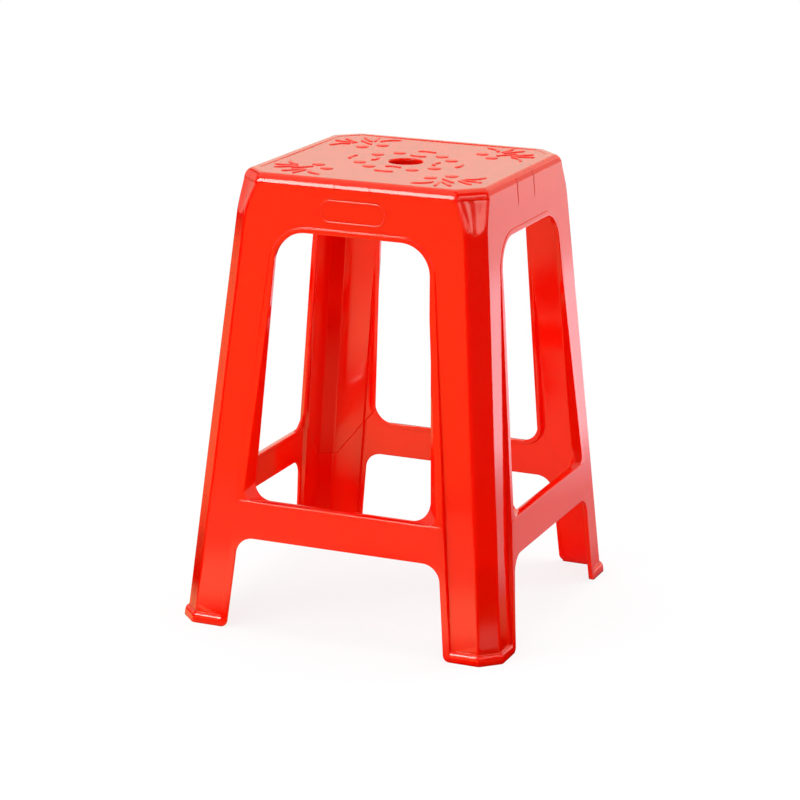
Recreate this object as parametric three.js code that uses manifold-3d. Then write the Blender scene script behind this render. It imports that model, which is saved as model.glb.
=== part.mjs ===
// Square stacking stool: a one-piece plastic shell on four legs that widens towards the floor,
// so that one stool slips over the next. Millimetres, +Z up, the front faces -Y, and the origin
// is on the floor under the middle of the seat. The one moulding is divided into zones (seat,
// rim, aprons, legs, stretchers and ribs) that meet on flat faces.

import * as THREE from 'three';
import { mergeVertices } from 'three/addons/utils/BufferGeometryUtils.js';
import Module from 'manifold-3d';

const wasm = await Module();
wasm.setup();

// Overall size. A half size is measured from the middle to a wall's outer face.
const SEAT_HEIGHT = 460;
const FLOOR_HALF = 171;
const TOP_HALF = 129.2;
const WALL = 3;

// The flat facet on each corner, measured along each side, and its widening under the rim.
const CORNER_FACET = 16.5;
const TOP_FACET = 24;
const FACET_FLARE_HEIGHT = 45;

// The rolled-over rim and the recessed seat panel inside it.
const ROLL_RADIUS = 9;
const RIM_SKIRT = 2;
const RIM_WIDTH = 13.7;
const PANEL_FACET = 19;
const PANEL_DROP = 1.3;
const FINGER_HOLE_RADIUS = 17.5;
const HOLE_EDGE = 1.2;

// The anti-slip relief on the seat panel: rings of dots and curved dashes round the finger hole,
// and dots in the corners.
const RELIEF_HEIGHT = 0.6;
const DOT_RADIUS = 5.4;
const DOT_RING_RADIUS = 46.7;
const DOT_SWING = Math.PI / 12;
const INNER_DASH_RADIUS = 31;
const INNER_DASH_LENGTH = 17;
const OUTER_DASH_RADIUS = 59.5;
const OUTER_DASH_LENGTH = 20;
const DASH_WIDTH = 4;
const DASH_COUNT = 4;
const CORNER_DOT_RADIUS = 90.5;
const CORNER_DOT_SPACING = 22.7;

// The leg's flat strip between its corner facet and the proud border, at the floor and carried up
// to the seat, and the border's own width and form.
const LEG_FACE_FLOOR = 29;
const LEG_FACE_TOP = 33.2;
const BORDER_WIDTH = 7.5;
const BORDER_TOP_WIDTH = 4.25;
const BORDER_ABOVE_WINDOW = 5.3;
const BORDER_CORNER = 40;
const BORDER_FADE_BELOW_TOP = 33.5;
const BORDER_LINE = 0.6;
const BORDER_PROUD = 4.5;
const BORDER_FOOT_PROUD = 3.2;

// The stretcher and the opening between the feet.
const STRETCHER_BOTTOM = 95.4;
const STRETCHER_DEPTH = 38.3;
const STRETCHER_PROUD = 5;
const STRETCHER_END_CORNER = 6;
const ARCH_CORNER = 19;

// The window over the stretcher. A bevel joins its inner edge to the border's face and fades out
// some way below the window's top.
const SILL_RISE = 1;
const SILL_THICKNESS = 5.5;
const APRON_DEPTH = 54.5;
const BEVEL_WIDTH = 9.5;
const BEVEL_CORNER = 9;
const BEVEL_END_BELOW_TOP = 69.5;
const WINDOW_BOTTOM_CORNER = 18;
const WINDOW_TOP_CORNER = 32;
const WINDOW_SETBACK = 1;

// The band round each foot.
const FOOT_BAND_HEIGHT = 10;
const FOOT_BAND_PROUD = 3.5;
const FOOT_BAND_EDGE = 1.5;

// The bare badge outline in the middle of the front apron.
const BADGE_WIDTH = 68;
const BADGE_HEIGHT = 27;
const BADGE_LINE = 1.6;
const BADGE_PROUD = 0.7;

// The crossed ribs under the seat, which pass just outside the finger hole.
const RIB_CLEARANCE = 1.5;
const RIB_THICKNESS = 2;
const RIB_DEPTH = 12;

// The play round a piece that is cut to fit, and how far a cutter runs past what it cuts.
const FIT_GAP = 0.3;
const OVERRUN = 5;

// Sizes that follow from the ones above.
const PANEL_HALF = TOP_HALF - RIM_WIDTH;
const PANEL_TOP = SEAT_HEIGHT - PANEL_DROP;
const PANEL_UNDERSIDE = PANEL_TOP - WALL;
const RIM_BOTTOM = SEAT_HEIGHT - ROLL_RADIUS - RIM_SKIRT;
const FLARE_START = SEAT_HEIGHT - FACET_FLARE_HEIGHT;
const STRETCHER_TOP = STRETCHER_BOTTOM + STRETCHER_DEPTH;
const WINDOW_BOTTOM = STRETCHER_TOP + SILL_RISE;
const WINDOW_TOP = SEAT_HEIGHT - APRON_DEPTH;
const BORDER_TOP = WINDOW_TOP + BORDER_ABOVE_WINDOW;
const BORDER_FADE_HEIGHT = WINDOW_TOP - BORDER_FADE_BELOW_TOP;
const BEVEL_END_HEIGHT = WINDOW_TOP - BEVEL_END_BELOW_TOP;
const BORDER_FLOOR_HALF = FLOOR_HALF - CORNER_FACET - LEG_FACE_FLOOR;
const BORDER_TOP_HALF = TOP_HALF - CORNER_FACET - LEG_FACE_TOP;
const BADGE_CENTRE = (BORDER_TOP + RIM_BOTTOM) / 2;
const RIB_OFFSET = FINGER_HOLE_RADIUS + RIB_CLEARANCE + RIB_THICKNESS / 2;
const REACH = FLOOR_HALF + WALL + STRETCHER_PROUD + FOOT_BAND_PROUD + OVERRUN;
const ARC_STEPS = 6;
const HOLE_STEPS = 48;
const DOT_STEPS = 16;
const QUARTER_TURN = Math.PI / 2;

// A facet keeps its wall's thickness when its width shrinks by this share of the inward offset.
const FACET_OFFSET_SHARE = 2 - Math.SQRT2;

const RED = new THREE.Color('#dc2a1c');

// A value at a height, on the straight line through two known heights.
function along(height, lowHeight, lowValue, highHeight, highValue) {
  return lowValue + ((highValue - lowValue) * (height - lowHeight)) / (highHeight - lowHeight);
}

// Half sizes of the tapering faces and half widths of the sloping edges, at a height.
const wallFace = (z) => along(z, 0, FLOOR_HALF, SEAT_HEIGHT, TOP_HALF);
const borderEdge = (z) => along(z, 0, BORDER_FLOOR_HALF, SEAT_HEIGHT, BORDER_TOP_HALF);
const openingEdge = (z) => borderEdge(z) - BORDER_WIDTH;
const windowBottomHalf = openingEdge(STRETCHER_TOP) - BEVEL_WIDTH;
const windowTopHalf = borderEdge(WINDOW_TOP) - BORDER_TOP_WIDTH;
const windowEdge = (z) => along(z, WINDOW_BOTTOM, windowBottomHalf, WINDOW_TOP, windowTopHalf);

// How far the border stands out: most at the stretcher, fading to a fine line over the window.
function borderProud(z) {
  if (z < STRETCHER_TOP) {
    return along(z, 0, BORDER_FOOT_PROUD, STRETCHER_TOP, BORDER_PROUD);
  }
  return Math.max(along(z, STRETCHER_TOP, BORDER_PROUD, BORDER_FADE_HEIGHT, BORDER_LINE), BORDER_LINE);
}

// A geometry as a solid that can be joined and cut.
function solidOf(geometry) {
  geometry.deleteAttribute('normal');
  geometry.deleteAttribute('uv');
  const merged = mergeVertices(geometry);
  return new wasm.Manifold(
    new wasm.Mesh({
      numProp: 3,
      vertProperties: merged.attributes.position.array,
      triVerts: merged.index.array,
    }),
  );
}

// A solid as a geometry for a mesh.
function geometryOf(solid) {
  const mesh = solid.getMesh();
  const geometry = new THREE.BufferGeometry();
  geometry.setAttribute('position', new THREE.BufferAttribute(mesh.vertProperties, 3));
  geometry.setIndex(new THREE.BufferAttribute(mesh.triVerts, 1));
  geometry.computeVertexNormals();
  return geometry;
}

// A solid through a row of rings with equally many points. Each ring runs anticlockwise as seen
// from the last one, and view() flattens a ring for its end cap.
function loft(rings, view) {
  const count = rings[0].length;
  const faces = [];
  for (let level = 0; level + 1 < rings.length; level += 1) {
    for (let i = 0; i < count; i += 1) {
      const here = level * count + i;
      const next = level * count + ((i + 1) % count);
      faces.push(here, next, next + count, here, next + count, here + count);
    }
  }
  const first = THREE.ShapeUtils.triangulateShape(rings[0].map(view), []);
  const last = THREE.ShapeUtils.triangulateShape(rings[rings.length - 1].map(view), []);
  const lastStart = (rings.length - 1) * count;
  first.forEach(([a, b, c]) => faces.push(c, b, a));
  last.forEach(([a, b, c]) => faces.push(lastStart + a, lastStart + b, lastStart + c));
  const geometry = new THREE.BufferGeometry().setFromPoints(rings.flat());
  geometry.setIndex(faces);
  return solidOf(geometry);
}

const fromAbove = (point) => new THREE.Vector2(point.x, point.y);
const fromFront = (point) => new THREE.Vector2(point.x, point.z);

// The outline through the given corners, each with its own rounding radius; zero stays sharp.
function roundedOutline(corners) {
  return corners.flatMap((corner, i) => {
    const at = new THREE.Vector2(corner.x, corner.y);
    if (corner.radius === 0) {
      return [at];
    }
    const before = corners[(i + corners.length - 1) % corners.length];
    const after = corners[(i + 1) % corners.length];
    const back = new THREE.Vector2(before.x, before.y).sub(at).normalize();
    const ahead = new THREE.Vector2(after.x, after.y).sub(at).normalize();
    const halfAngle = Math.acos(back.dot(ahead)) / 2;
    const inward = back.clone().add(ahead).normalize();
    const centre = at.clone().addScaledVector(inward, corner.radius / Math.sin(halfAngle));
    const start = at.clone().addScaledVector(back, corner.radius / Math.tan(halfAngle)).sub(centre);
    const turn = Math.PI - 2 * halfAngle;
    return Array.from({ length: ARC_STEPS + 1 }, (_, step) =>
      start.clone().rotateAround(new THREE.Vector2(), (turn * step) / ARC_STEPS).add(centre),
    );
  });
}

const corner = (x, y, radius = 0) => ({ x, y, radius });

// A level octagonal ring: a square of the given half size with a facet on each corner.
function octagon(half, facet, z) {
  const inner = half - facet;
  return [
    [inner, -half],
    [half, -inner],
    [half, inner],
    [inner, half],
    [-inner, half],
    [-half, inner],
    [-half, -inner],
    [-inner, -half],
  ].map(([x, y]) => new THREE.Vector3(x, y, z));
}

const octagonOffset = (half, facet, inset, z) =>
  octagon(half - inset, facet - inset * FACET_OFFSET_SHARE, z);

// The stool's outer form, or its hollow where inset is the wall: straight tapering walls whose
// corner facets widen under the rim and whose top edge rolls over to the seat.
function taperedForm(inset, bottom, top) {
  const radius = ROLL_RADIUS - inset;
  const rollStart = top - radius;
  const rings = [
    octagonOffset(wallFace(bottom), CORNER_FACET, inset, bottom),
    octagonOffset(wallFace(FLARE_START), CORNER_FACET, inset, FLARE_START),
  ];
  for (let step = 0; step <= ARC_STEPS; step += 1) {
    const angle = (QUARTER_TURN * step) / ARC_STEPS;
    const rolledIn = inset + radius * (1 - Math.cos(angle));
    const z = rollStart + radius * Math.sin(angle);
    rings.push(octagonOffset(wallFace(rollStart), TOP_FACET, rolledIn, z));
  }
  return loft(rings, fromAbove);
}

// A solid from the middle of the stool to a front face whose distance depends on the height.
function frontSlab(heights, faceAt) {
  const rings = heights.map((z) => [
    new THREE.Vector3(REACH, 0, z),
    new THREE.Vector3(-REACH, 0, z),
    new THREE.Vector3(-REACH, -faceAt(z), z),
    new THREE.Vector3(REACH, -faceAt(z), z),
  ]);
  return loft(rings, fromAbove);
}

// An outline in the front view, carried from the middle of the stool out past the front.
function frontPrism(points) {
  const geometry = new THREE.ExtrudeGeometry(new THREE.Shape(points), {
    depth: REACH,
    bevelEnabled: false,
  });
  return solidOf(geometry.rotateX(QUARTER_TURN));
}

// A box between two corners.
function box(low, high) {
  const size = high.clone().sub(low);
  const middle = low.clone().add(high).divideScalar(2);
  return solidOf(new THREE.BoxGeometry(size.x, size.y, size.z).translate(middle.x, middle.y, middle.z));
}

// The same solid on all four sides.
function onFourSides(solid) {
  return [0, 1, 2, 3]
    .map((side) => solid.rotate([0, 0, 90 * side]))
    .reduce((joined, turned) => joined.add(turned));
}

// The border's outline, from below the floor to its rounded top, drawn in by an inset.
function borderOutline(inset, top, cornerRadius) {
  const half = (z) => borderEdge(z) - inset;
  return roundedOutline([
    corner(half(-OVERRUN), -OVERRUN),
    corner(half(top), top, cornerRadius),
    corner(-half(top), top, cornerRadius),
    corner(-half(-OVERRUN), -OVERRUN),
  ]);
}

// The proud border of a window and of the leg edges below it, as a thick block.
function border() {
  const heights = [0, STRETCHER_TOP, BORDER_FADE_HEIGHT, BORDER_TOP];
  const face = (z) => wallFace(z) + borderProud(z);
  const outline = borderOutline(0, BORDER_TOP, BORDER_CORNER);
  return frontPrism(outline).intersect(frontSlab(heights, face));
}

// The stretcher as a thick block, with rounded top ends.
function stretcherBlock() {
  const outline = roundedOutline([
    corner(borderEdge(STRETCHER_BOTTOM), STRETCHER_BOTTOM),
    corner(borderEdge(STRETCHER_TOP) - BORDER_PROUD, STRETCHER_TOP, STRETCHER_END_CORNER),
    corner(-borderEdge(STRETCHER_TOP) + BORDER_PROUD, STRETCHER_TOP, STRETCHER_END_CORNER),
    corner(-borderEdge(STRETCHER_BOTTOM), STRETCHER_BOTTOM),
  ]);
  const face = (z) => wallFace(z) + STRETCHER_PROUD;
  return frontPrism(outline).intersect(frontSlab([STRETCHER_BOTTOM, STRETCHER_TOP], face));
}

// A ring of the window cutter: an outline whose points lie a given distance outside the wall.
function windowRing(halfAt, bottom, bottomCorner, outward, grow, growBelow) {
  const low = bottom - growBelow;
  const high = WINDOW_TOP + grow;
  const outline = roundedOutline([
    corner(-halfAt(bottom) - grow, low, bottomCorner),
    corner(halfAt(bottom) + grow, low, bottomCorner),
    corner(halfAt(BEVEL_END_HEIGHT) + grow, BEVEL_END_HEIGHT),
    corner(halfAt(WINDOW_TOP) + grow, high, WINDOW_TOP_CORNER),
    corner(-halfAt(WINDOW_TOP) - grow, high, WINDOW_TOP_CORNER),
    corner(-halfAt(BEVEL_END_HEIGHT) - grow, BEVEL_END_HEIGHT),
  ]);
  return outline.map(({ x, y }) => new THREE.Vector3(x, -wallFace(y) - outward(y), y));
}

// The window cutter: the inner edge goes straight through the wall, and a bevel widens it to the
// outer edge on the border's face. Growing it gives the wall that stays round the window.
function windowCutter(grow, growBelow) {
  const bevelEdge = (z) => {
    const endHalf = windowEdge(BEVEL_END_HEIGHT);
    const sloping = along(z, STRETCHER_TOP, openingEdge(STRETCHER_TOP), BEVEL_END_HEIGHT, endHalf);
    return Math.max(sloping, windowEdge(z));
  };
  const inner = (outward) =>
    windowRing(windowEdge, WINDOW_BOTTOM, WINDOW_BOTTOM_CORNER, outward, grow, growBelow);
  const outer = (outward) =>
    windowRing(bevelEdge, STRETCHER_TOP, BEVEL_CORNER, outward, grow, growBelow);
  const rings = [
    inner(() => -WALL - BORDER_PROUD - OVERRUN),
    inner(() => -WINDOW_SETBACK),
    outer(borderProud),
    outer(() => STRETCHER_PROUD + OVERRUN),
  ];
  return loft(rings, fromFront);
}

// The opening between two feet.
function archCutter() {
  return frontPrism(
    roundedOutline([
      corner(openingEdge(-OVERRUN), -OVERRUN),
      corner(openingEdge(STRETCHER_BOTTOM), STRETCHER_BOTTOM, ARCH_CORNER),
      corner(-openingEdge(STRETCHER_BOTTOM), STRETCHER_BOTTOM, ARCH_CORNER),
      corner(-openingEdge(-OVERRUN), -OVERRUN),
    ]),
  );
}

// The hollow behind the border and the stretcher, which keeps their wall even.
function borderHollow() {
  const heights = [-OVERRUN, STRETCHER_TOP, BORDER_FADE_HEIGHT];
  const face = (z) => wallFace(z) + borderProud(z) - WALL - BORDER_LINE;
  const outline = borderOutline(WALL, BORDER_FADE_HEIGHT, 0);
  return frontPrism(outline)
    .intersect(frontSlab(heights, face))
    .subtract(windowCutter(WALL, SILL_THICKNESS));
}

// The band round the feet, with a soft lower edge.
function footBand() {
  const proud = (z, inset) =>
    octagonOffset(wallFace(z), CORNER_FACET, inset - FOOT_BAND_PROUD, z);
  const rings = [
    proud(0, FOOT_BAND_EDGE),
    proud(FOOT_BAND_EDGE, 0),
    proud(FOOT_BAND_HEIGHT, 0),
  ];
  return loft(rings, fromAbove);
}

// The finger hole, softened at its upper edge.
function fingerHole() {
  const wide = FINGER_HOLE_RADIUS + HOLE_EDGE;
  const profile = [
    new THREE.Vector2(0, PANEL_UNDERSIDE - OVERRUN),
    new THREE.Vector2(FINGER_HOLE_RADIUS, PANEL_UNDERSIDE - OVERRUN),
    new THREE.Vector2(FINGER_HOLE_RADIUS, PANEL_TOP - HOLE_EDGE),
    new THREE.Vector2(wide, PANEL_TOP),
    new THREE.Vector2(wide, SEAT_HEIGHT + OVERRUN),
    new THREE.Vector2(0, SEAT_HEIGHT + OVERRUN),
  ];
  return solidOf(new THREE.LatheGeometry(profile, HOLE_STEPS).rotateX(QUARTER_TURN));
}

// An octagonal column with the seat panel's outline.
function panelColumn(bottom, top) {
  const rings = [octagon(PANEL_HALF, PANEL_FACET, bottom), octagon(PANEL_HALF, PANEL_FACET, top)];
  return loft(rings, fromAbove);
}

// The whole moulding, before it is divided.
function moulding() {
  const outside = taperedForm(0, 0, SEAT_HEIGHT)
    .add(footBand())
    .add(onFourSides(border()))
    .add(onFourSides(stretcherBlock()));
  const inside = taperedForm(WALL, -OVERRUN, PANEL_UNDERSIDE).add(onFourSides(borderHollow()));
  const openings = onFourSides(windowCutter(0, 0)).add(onFourSides(archCutter()));
  return outside
    .subtract(inside)
    .subtract(openings)
    .subtract(panelColumn(PANEL_TOP, SEAT_HEIGHT + OVERRUN))
    .subtract(fingerHole());
}

// A low dot on the seat panel.
function dot(x, y) {
  const height = 2 * RELIEF_HEIGHT;
  const narrow = DOT_RADIUS - RELIEF_HEIGHT;
  const cylinder = new THREE.CylinderGeometry(narrow, DOT_RADIUS + RELIEF_HEIGHT, height, DOT_STEPS);
  return solidOf(cylinder.rotateX(QUARTER_TURN).translate(x, y, PANEL_TOP));
}

// A low curved dash that follows a circle round the middle of the seat.
function dash(radius, length, angle) {
  const span = length / radius;
  const shape = new THREE.Shape();
  shape.absarc(0, 0, radius + DASH_WIDTH / 2, angle - span / 2, angle + span / 2, false);
  shape.absarc(0, 0, radius - DASH_WIDTH / 2, angle + span / 2, angle - span / 2, true);
  const settings = { depth: 2 * RELIEF_HEIGHT, bevelEnabled: false, curveSegments: ARC_STEPS };
  const geometry = new THREE.ExtrudeGeometry(shape, settings);
  return solidOf(geometry.translate(0, 0, PANEL_TOP - RELIEF_HEIGHT));
}

// Two low dots at equal angles beside a diagonal of the seat.
function dotPair(radius, diagonal, swing) {
  return [diagonal - swing, diagonal + swing].map((turn) =>
    dot(radius * Math.cos(turn), radius * Math.sin(turn)),
  );
}

// The raised relief: dots and dashes round the finger hole, and two dots in each corner.
function relief() {
  const pieces = [];
  for (let i = 0; i < DASH_COUNT; i += 1) {
    const angle = (2 * Math.PI * i) / DASH_COUNT;
    pieces.push(
      dash(INNER_DASH_RADIUS, INNER_DASH_LENGTH, angle),
      dash(OUTER_DASH_RADIUS, OUTER_DASH_LENGTH, angle),
    );
    const diagonal = angle + Math.PI / DASH_COUNT;
    const swing = CORNER_DOT_SPACING / 2 / CORNER_DOT_RADIUS;
    pieces.push(...dotPair(DOT_RING_RADIUS, diagonal, DOT_SWING));
    pieces.push(...dotPair(CORNER_DOT_RADIUS, diagonal, swing));
  }
  return pieces.reduce((joined, piece) => joined.add(piece));
}

// The badge's place on the front apron: a raised line with round ends and nothing in it.
function badge() {
  const height = BADGE_CENTRE;
  const stadium = (inset) => {
    const half = BADGE_WIDTH / 2 - inset;
    const radius = BADGE_HEIGHT / 2 - inset;
    return roundedOutline([
      corner(-half, height - radius, radius),
      corner(half, height - radius, radius),
      corner(half, height + radius, radius),
      corner(-half, height + radius, radius),
    ]);
  };
  const ring = frontPrism(stadium(0)).subtract(frontPrism(stadium(BADGE_LINE)));
  const heights = [height - BADGE_HEIGHT, RIM_BOTTOM];
  return ring
    .intersect(frontSlab(heights, (z) => wallFace(z) + BADGE_PROUD))
    .subtract(frontSlab(heights, (z) => wallFace(z) - WALL / 2));
}

// The ribs under the seat: two each way, just outside the finger hole, cut to fit the hollow.
function seatRibs() {
  const plate = (offset) =>
    box(
      new THREE.Vector3(-REACH, offset - RIB_THICKNESS / 2, PANEL_UNDERSIDE - RIB_DEPTH),
      new THREE.Vector3(REACH, offset + RIB_THICKNESS / 2, PANEL_UNDERSIDE),
    );
  const pair = plate(-RIB_OFFSET).add(plate(RIB_OFFSET));
  const room = taperedForm(WALL + FIT_GAP, -OVERRUN, PANEL_UNDERSIDE);
  return pair.add(pair.rotate([0, 0, 90])).intersect(room);
}

const group = new THREE.Group();

// Adds a named piece, turned by quarter turns from where it was made.
function place(name, solid, quarterTurns = 0) {
  const material = new THREE.MeshStandardMaterial({ color: RED, roughness: 0.22, metalness: 0 });
  const mesh = new THREE.Mesh(geometryOf(solid), material);
  mesh.name = name;
  mesh.rotation.z = quarterTurns * QUARTER_TURN;
  group.add(mesh);
}

// The zones: the rim and panel lie above the rim's lower edge. Each side's apron and stretcher
// run as far as the window's edge is straight, and what they leave of the walls is the legs.
const whole = moulding();
const apronHalf = windowTopHalf - WINDOW_TOP_CORNER;
const stretcherHalf = windowBottomHalf - WINDOW_BOTTOM_CORNER;
const above = box(
  new THREE.Vector3(-REACH, -REACH, RIM_BOTTOM),
  new THREE.Vector3(REACH, REACH, SEAT_HEIGHT + OVERRUN),
);
const apronZone = box(
  new THREE.Vector3(-apronHalf, -REACH, WINDOW_TOP - OVERRUN),
  new THREE.Vector3(apronHalf, 0, RIM_BOTTOM),
);
const stretcherZone = box(
  new THREE.Vector3(-stretcherHalf, -REACH, STRETCHER_BOTTOM - OVERRUN),
  new THREE.Vector3(stretcherHalf, 0, WINDOW_BOTTOM + OVERRUN),
);
const legZone = box(
  new THREE.Vector3(0, -REACH, -OVERRUN),
  new THREE.Vector3(REACH, 0, RIM_BOTTOM),
);

const column = panelColumn(RIM_BOTTOM, PANEL_TOP);
place('seat_panel', whole.intersect(column).add(relief()));
place('seat_rim', whole.intersect(above).subtract(column));
place('seat_ribs', seatRibs());

const apron = whole.intersect(apronZone);
const stretcher = whole.intersect(stretcherZone);
const leg = whole.intersect(legZone).subtract(onFourSides(apronZone)).subtract(onFourSides(stretcherZone));

['front', 'right', 'back', 'left'].forEach((side, turns) => {
  place(`apron_${side}`, side === 'front' ? apron.add(badge()) : apron, turns);
  place(`stretcher_${side}`, stretcher, turns);
});
['front_right', 'back_right', 'back_left', 'front_left'].forEach((name, turns) => {
  place(`leg_${name}`, leg, turns);
});

export default group;
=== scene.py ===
"""Looks of a plastic stacking stool, moulded in one piece.

The shell is one eighth of a stool, mirrored and turned round by Geometry Nodes.
Sizes are in metres. The front is -Y, the right side is +X and the floor is Z = 0.
"""

import math

import bmesh
import bpy
import numpy as np
from bpy.props import FloatProperty, FloatVectorProperty, IntProperty, PointerProperty
from mathutils import Matrix, Vector
from mathutils.geometry import delaunay_2d_cdt


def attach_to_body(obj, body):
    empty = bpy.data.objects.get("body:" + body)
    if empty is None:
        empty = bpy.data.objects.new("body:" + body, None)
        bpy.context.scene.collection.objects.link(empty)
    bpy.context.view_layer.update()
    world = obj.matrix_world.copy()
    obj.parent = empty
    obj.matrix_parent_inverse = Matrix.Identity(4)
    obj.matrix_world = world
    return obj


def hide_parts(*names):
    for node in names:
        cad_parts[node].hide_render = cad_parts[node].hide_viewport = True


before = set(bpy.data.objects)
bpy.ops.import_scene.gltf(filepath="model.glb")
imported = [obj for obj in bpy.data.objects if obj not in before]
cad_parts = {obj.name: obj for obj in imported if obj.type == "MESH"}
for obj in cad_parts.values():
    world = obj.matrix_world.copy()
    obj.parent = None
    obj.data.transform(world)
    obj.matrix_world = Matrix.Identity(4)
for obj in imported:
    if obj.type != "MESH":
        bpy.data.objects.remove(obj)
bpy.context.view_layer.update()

bl_info = {
    "name": "Stacking stool",
    "version": (1, 0, 0),
    "blender": (4, 5, 0),
    "location": "3D View > Sidebar > Stool",
    "description": "Builds a moulded plastic stacking stool and its studio",
    "category": "Add Mesh",
}

MM = 0.001
BODY = "root"
SHELL_NODES = (
    "seat_panel",
    "seat_rim",
    "apron_front",
    "apron_right",
    "apron_back",
    "apron_left",
    "stretcher_front",
    "stretcher_right",
    "stretcher_back",
    "stretcher_left",
    "leg_front_right",
    "leg_back_right",
    "leg_back_left",
    "leg_front_left",
)

# Small sizes of the shell. Heights are from the floor where nothing else is said

STRETCHER_STEP = 0.5 * MM  # half the height of the step along the stretcher's top edge
STRETCHER_FADE = 50 * MM  # height up to which a leg has none of the stretcher's extra
JAMB_START = 6 * MM  # height over the sill where the window's edge starts to sink
JAMB_RISE = 16 * MM  # height over which it sinks
SEAM_HALF = 0.7 * MM  # half the height of the slanting step inside a leg
SEAM_HEIGHT = 92.5 * MM  # height of its level part
SEAM_BEND = 142 * MM  # middle of a side to the place where it starts to slant
SEAM_RISE = 51.0  # its slant, as a rise over a run
SEAM_RUN = 42.0
FLANGE_RISE = 26 * MM  # height over the sill where the flange has its full width
FLANGE_WIDTH = 6.2 * MM  # window's edge to the middle of the slope behind the flange
FLANGE_SLOPE_HALF = 2.6 * MM  # half the width of that slope
SILL_STEP_HALF = 0.8 * MM  # the same at the sill
FLARE_SHARE = 0.62  # how much of a smooth rise the facet's widening goes through
POCKET_GAP = 0.5 * MM  # top of the corner pocket to the start of the roll over
POCKET_CLOSING = 0.6 * MM  # height over which the pocket closes at its top
POCKET_OPENING_SHARE = 0.25  # share of its height over which it opens
INNER_ROUND = 0.8 * MM  # reach of the rounding beside the inner facet
OPEN_EDGE_ROUND = 0.9 * MM  # how far a rounding reaches into the thickness of an open edge
PANEL_FACET_INSET = 1.7 * MM  # how much less the corners of its underside are cut
PANEL_STEP_PLACE = 0.9 * MM  # edge of the panel to the middle of the step round it
PANEL_STEP_HALF = 0.4 * MM  # half the width of that step
PANEL_CORNER_ROUND = 0.8 * MM  # reach of the rounding beside its corner facets
PANEL_REACH_LIMIT = 1.35  # share of its half width up to which the dish is worked out
HOLE_EDGE_ROUND = 1.2 * MM  # how far the roundings of the finger hole reach into it
HOLE_UNDER_ROUND = 0.8 * MM  # reach of the rounding of its lower edge

# Where the mesh of the shell gets its rows and columns

STEP_ROWS = (-1.0, -0.6, -0.25, 0.0, 0.25, 0.6, 1.0)  # shares of half a step
BAND_TURNS = (0.0, 15.0, 30.0, 45.0, 60.0, 75.0, 90.0)  # degrees round the band's top
ROUNDING_SHARES = (0.0, 0.25, 0.5, 0.75, 1.0)
FACET_SHARES = (0.08, 0.2, 0.33, 0.46, 0.6, 0.75, 0.9, 1.0)
PANEL_STEP_SHARES = (-1.0, -0.5, 0.0, 0.5, 1.0)
ROUNDING_LIMIT_SHARE = 0.45  # most of a straight run that a rounding takes up
PANEL_RING_POWER = 0.9  # below 1, the rings are closer together near the hole
ROW_START = -5 * MM  # rows start under the floor, so that they cross the sheet's edge
BAND_ROW_ENDS = (110 * MM, 190 * MM)
STRETCHER_ROW_START = 90 * MM
SEAM_ROW_SIDES = (90 * MM, SEAM_BEND, 190 * MM)
CROSS_ROW_HEIGHTS = (72 * MM, STRETCHER_FADE, 28 * MM)
CROSS_ROW_ABOVE = 12 * MM  # stretcher's top to one more short row across the border
CROSS_ROW_INSIDE = 12 * MM
CROSS_ROW_OUTSIDE = 2 * MM
COLUMN_HEIGHTS = (4 * MM, 20 * MM, 45 * MM, 80 * MM)
COLUMN_START = 125 * MM
COLUMN_GAP = 5 * MM  # last even row to the start of the facet's widening
POCKET_DROPS = (0.4 * MM, 0.2 * MM, 0.0)  # rows where the pocket closes
TOP_TURNS = np.arange(40.0, 0.0, -2.5)  # degrees from the middle of a side
TOP_GAP = 2 * MM  # least distance from a column of the top to the corner's rounding
FLAT = (0.0, 1.0)  # a hollow without depth
SQUARE_ROOT_TWO = math.sqrt(2.0)

# How near points, heights and places count as the same. CUT_MERGE is in millimetres

NEAR_ZERO = 1e-9
CUT_MERGE = 1e-5
CELL_MERGE = 4e-6
FORM_MERGE = 2e-6
SIDE_MERGE = 5e-6
TINY_EDGE = 1e-6
NO_LENGTH = 1e-16
ON_LINE = 2e-7
ON_COLUMN = 2e-6
SAME_HEIGHT = 1e-7
SHARE_SLACK = 1e-6
PLACE_GAP = 2e-4

# Small sizes of the relief

DOT_TURNS = (30.0, 60.0)  # degrees from the right side
OUTER_DASH_BOW = 2.5  # as in ring_line
INNER_DASH_BOW = -2.8
FORM_DEPTH = 0.6 * MM  # how deep the foot of a raised form lies in the face under it
FORM_AHEAD = 0.4 * MM  # half the run over which its direction is measured
LEAVES = (
    # start, bend, end and width in millimetres, and the tapers of both ends as shares of the width
    ((72.6, -85), (80.5, -93), (89.6, -105), 5.2, 1.4, 1.0),
    ((70.4, -87), (73.5, -97), (75.2, -111), 3.8, 1.6, 1.2),
    ((64.8, -89), (66.5, -100), (47.6, -105.5), 4.4, 0.8, 2.6),
)
MIDDLE_LEAF = ((68.0, -71.5), (77, -79), (86.5, -88.0), 4.2, 0.8, 1.2)
FAN_DOT_RING = 90.5 * MM  # middle of the seat to a fan's dot
FAN_DOT_TURN = 7.2  # degrees between it and the diagonal
CREASE_START = 6.5 * MM  # start of the roll over up to the head of a crease
CREASE_SHIFT = -3.5 * MM  # how far a pair of creases is moved sideways
CREASE_HEAD_SHARE = 0.15  # share of a crease's swelling that its head leaves out
BADGE_SHIFT = 1.5 * MM  # how far the oval is moved to the left

# The studio. Directions are in degrees, round from the right side and up from DIRECTION_HEIGHT

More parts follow.
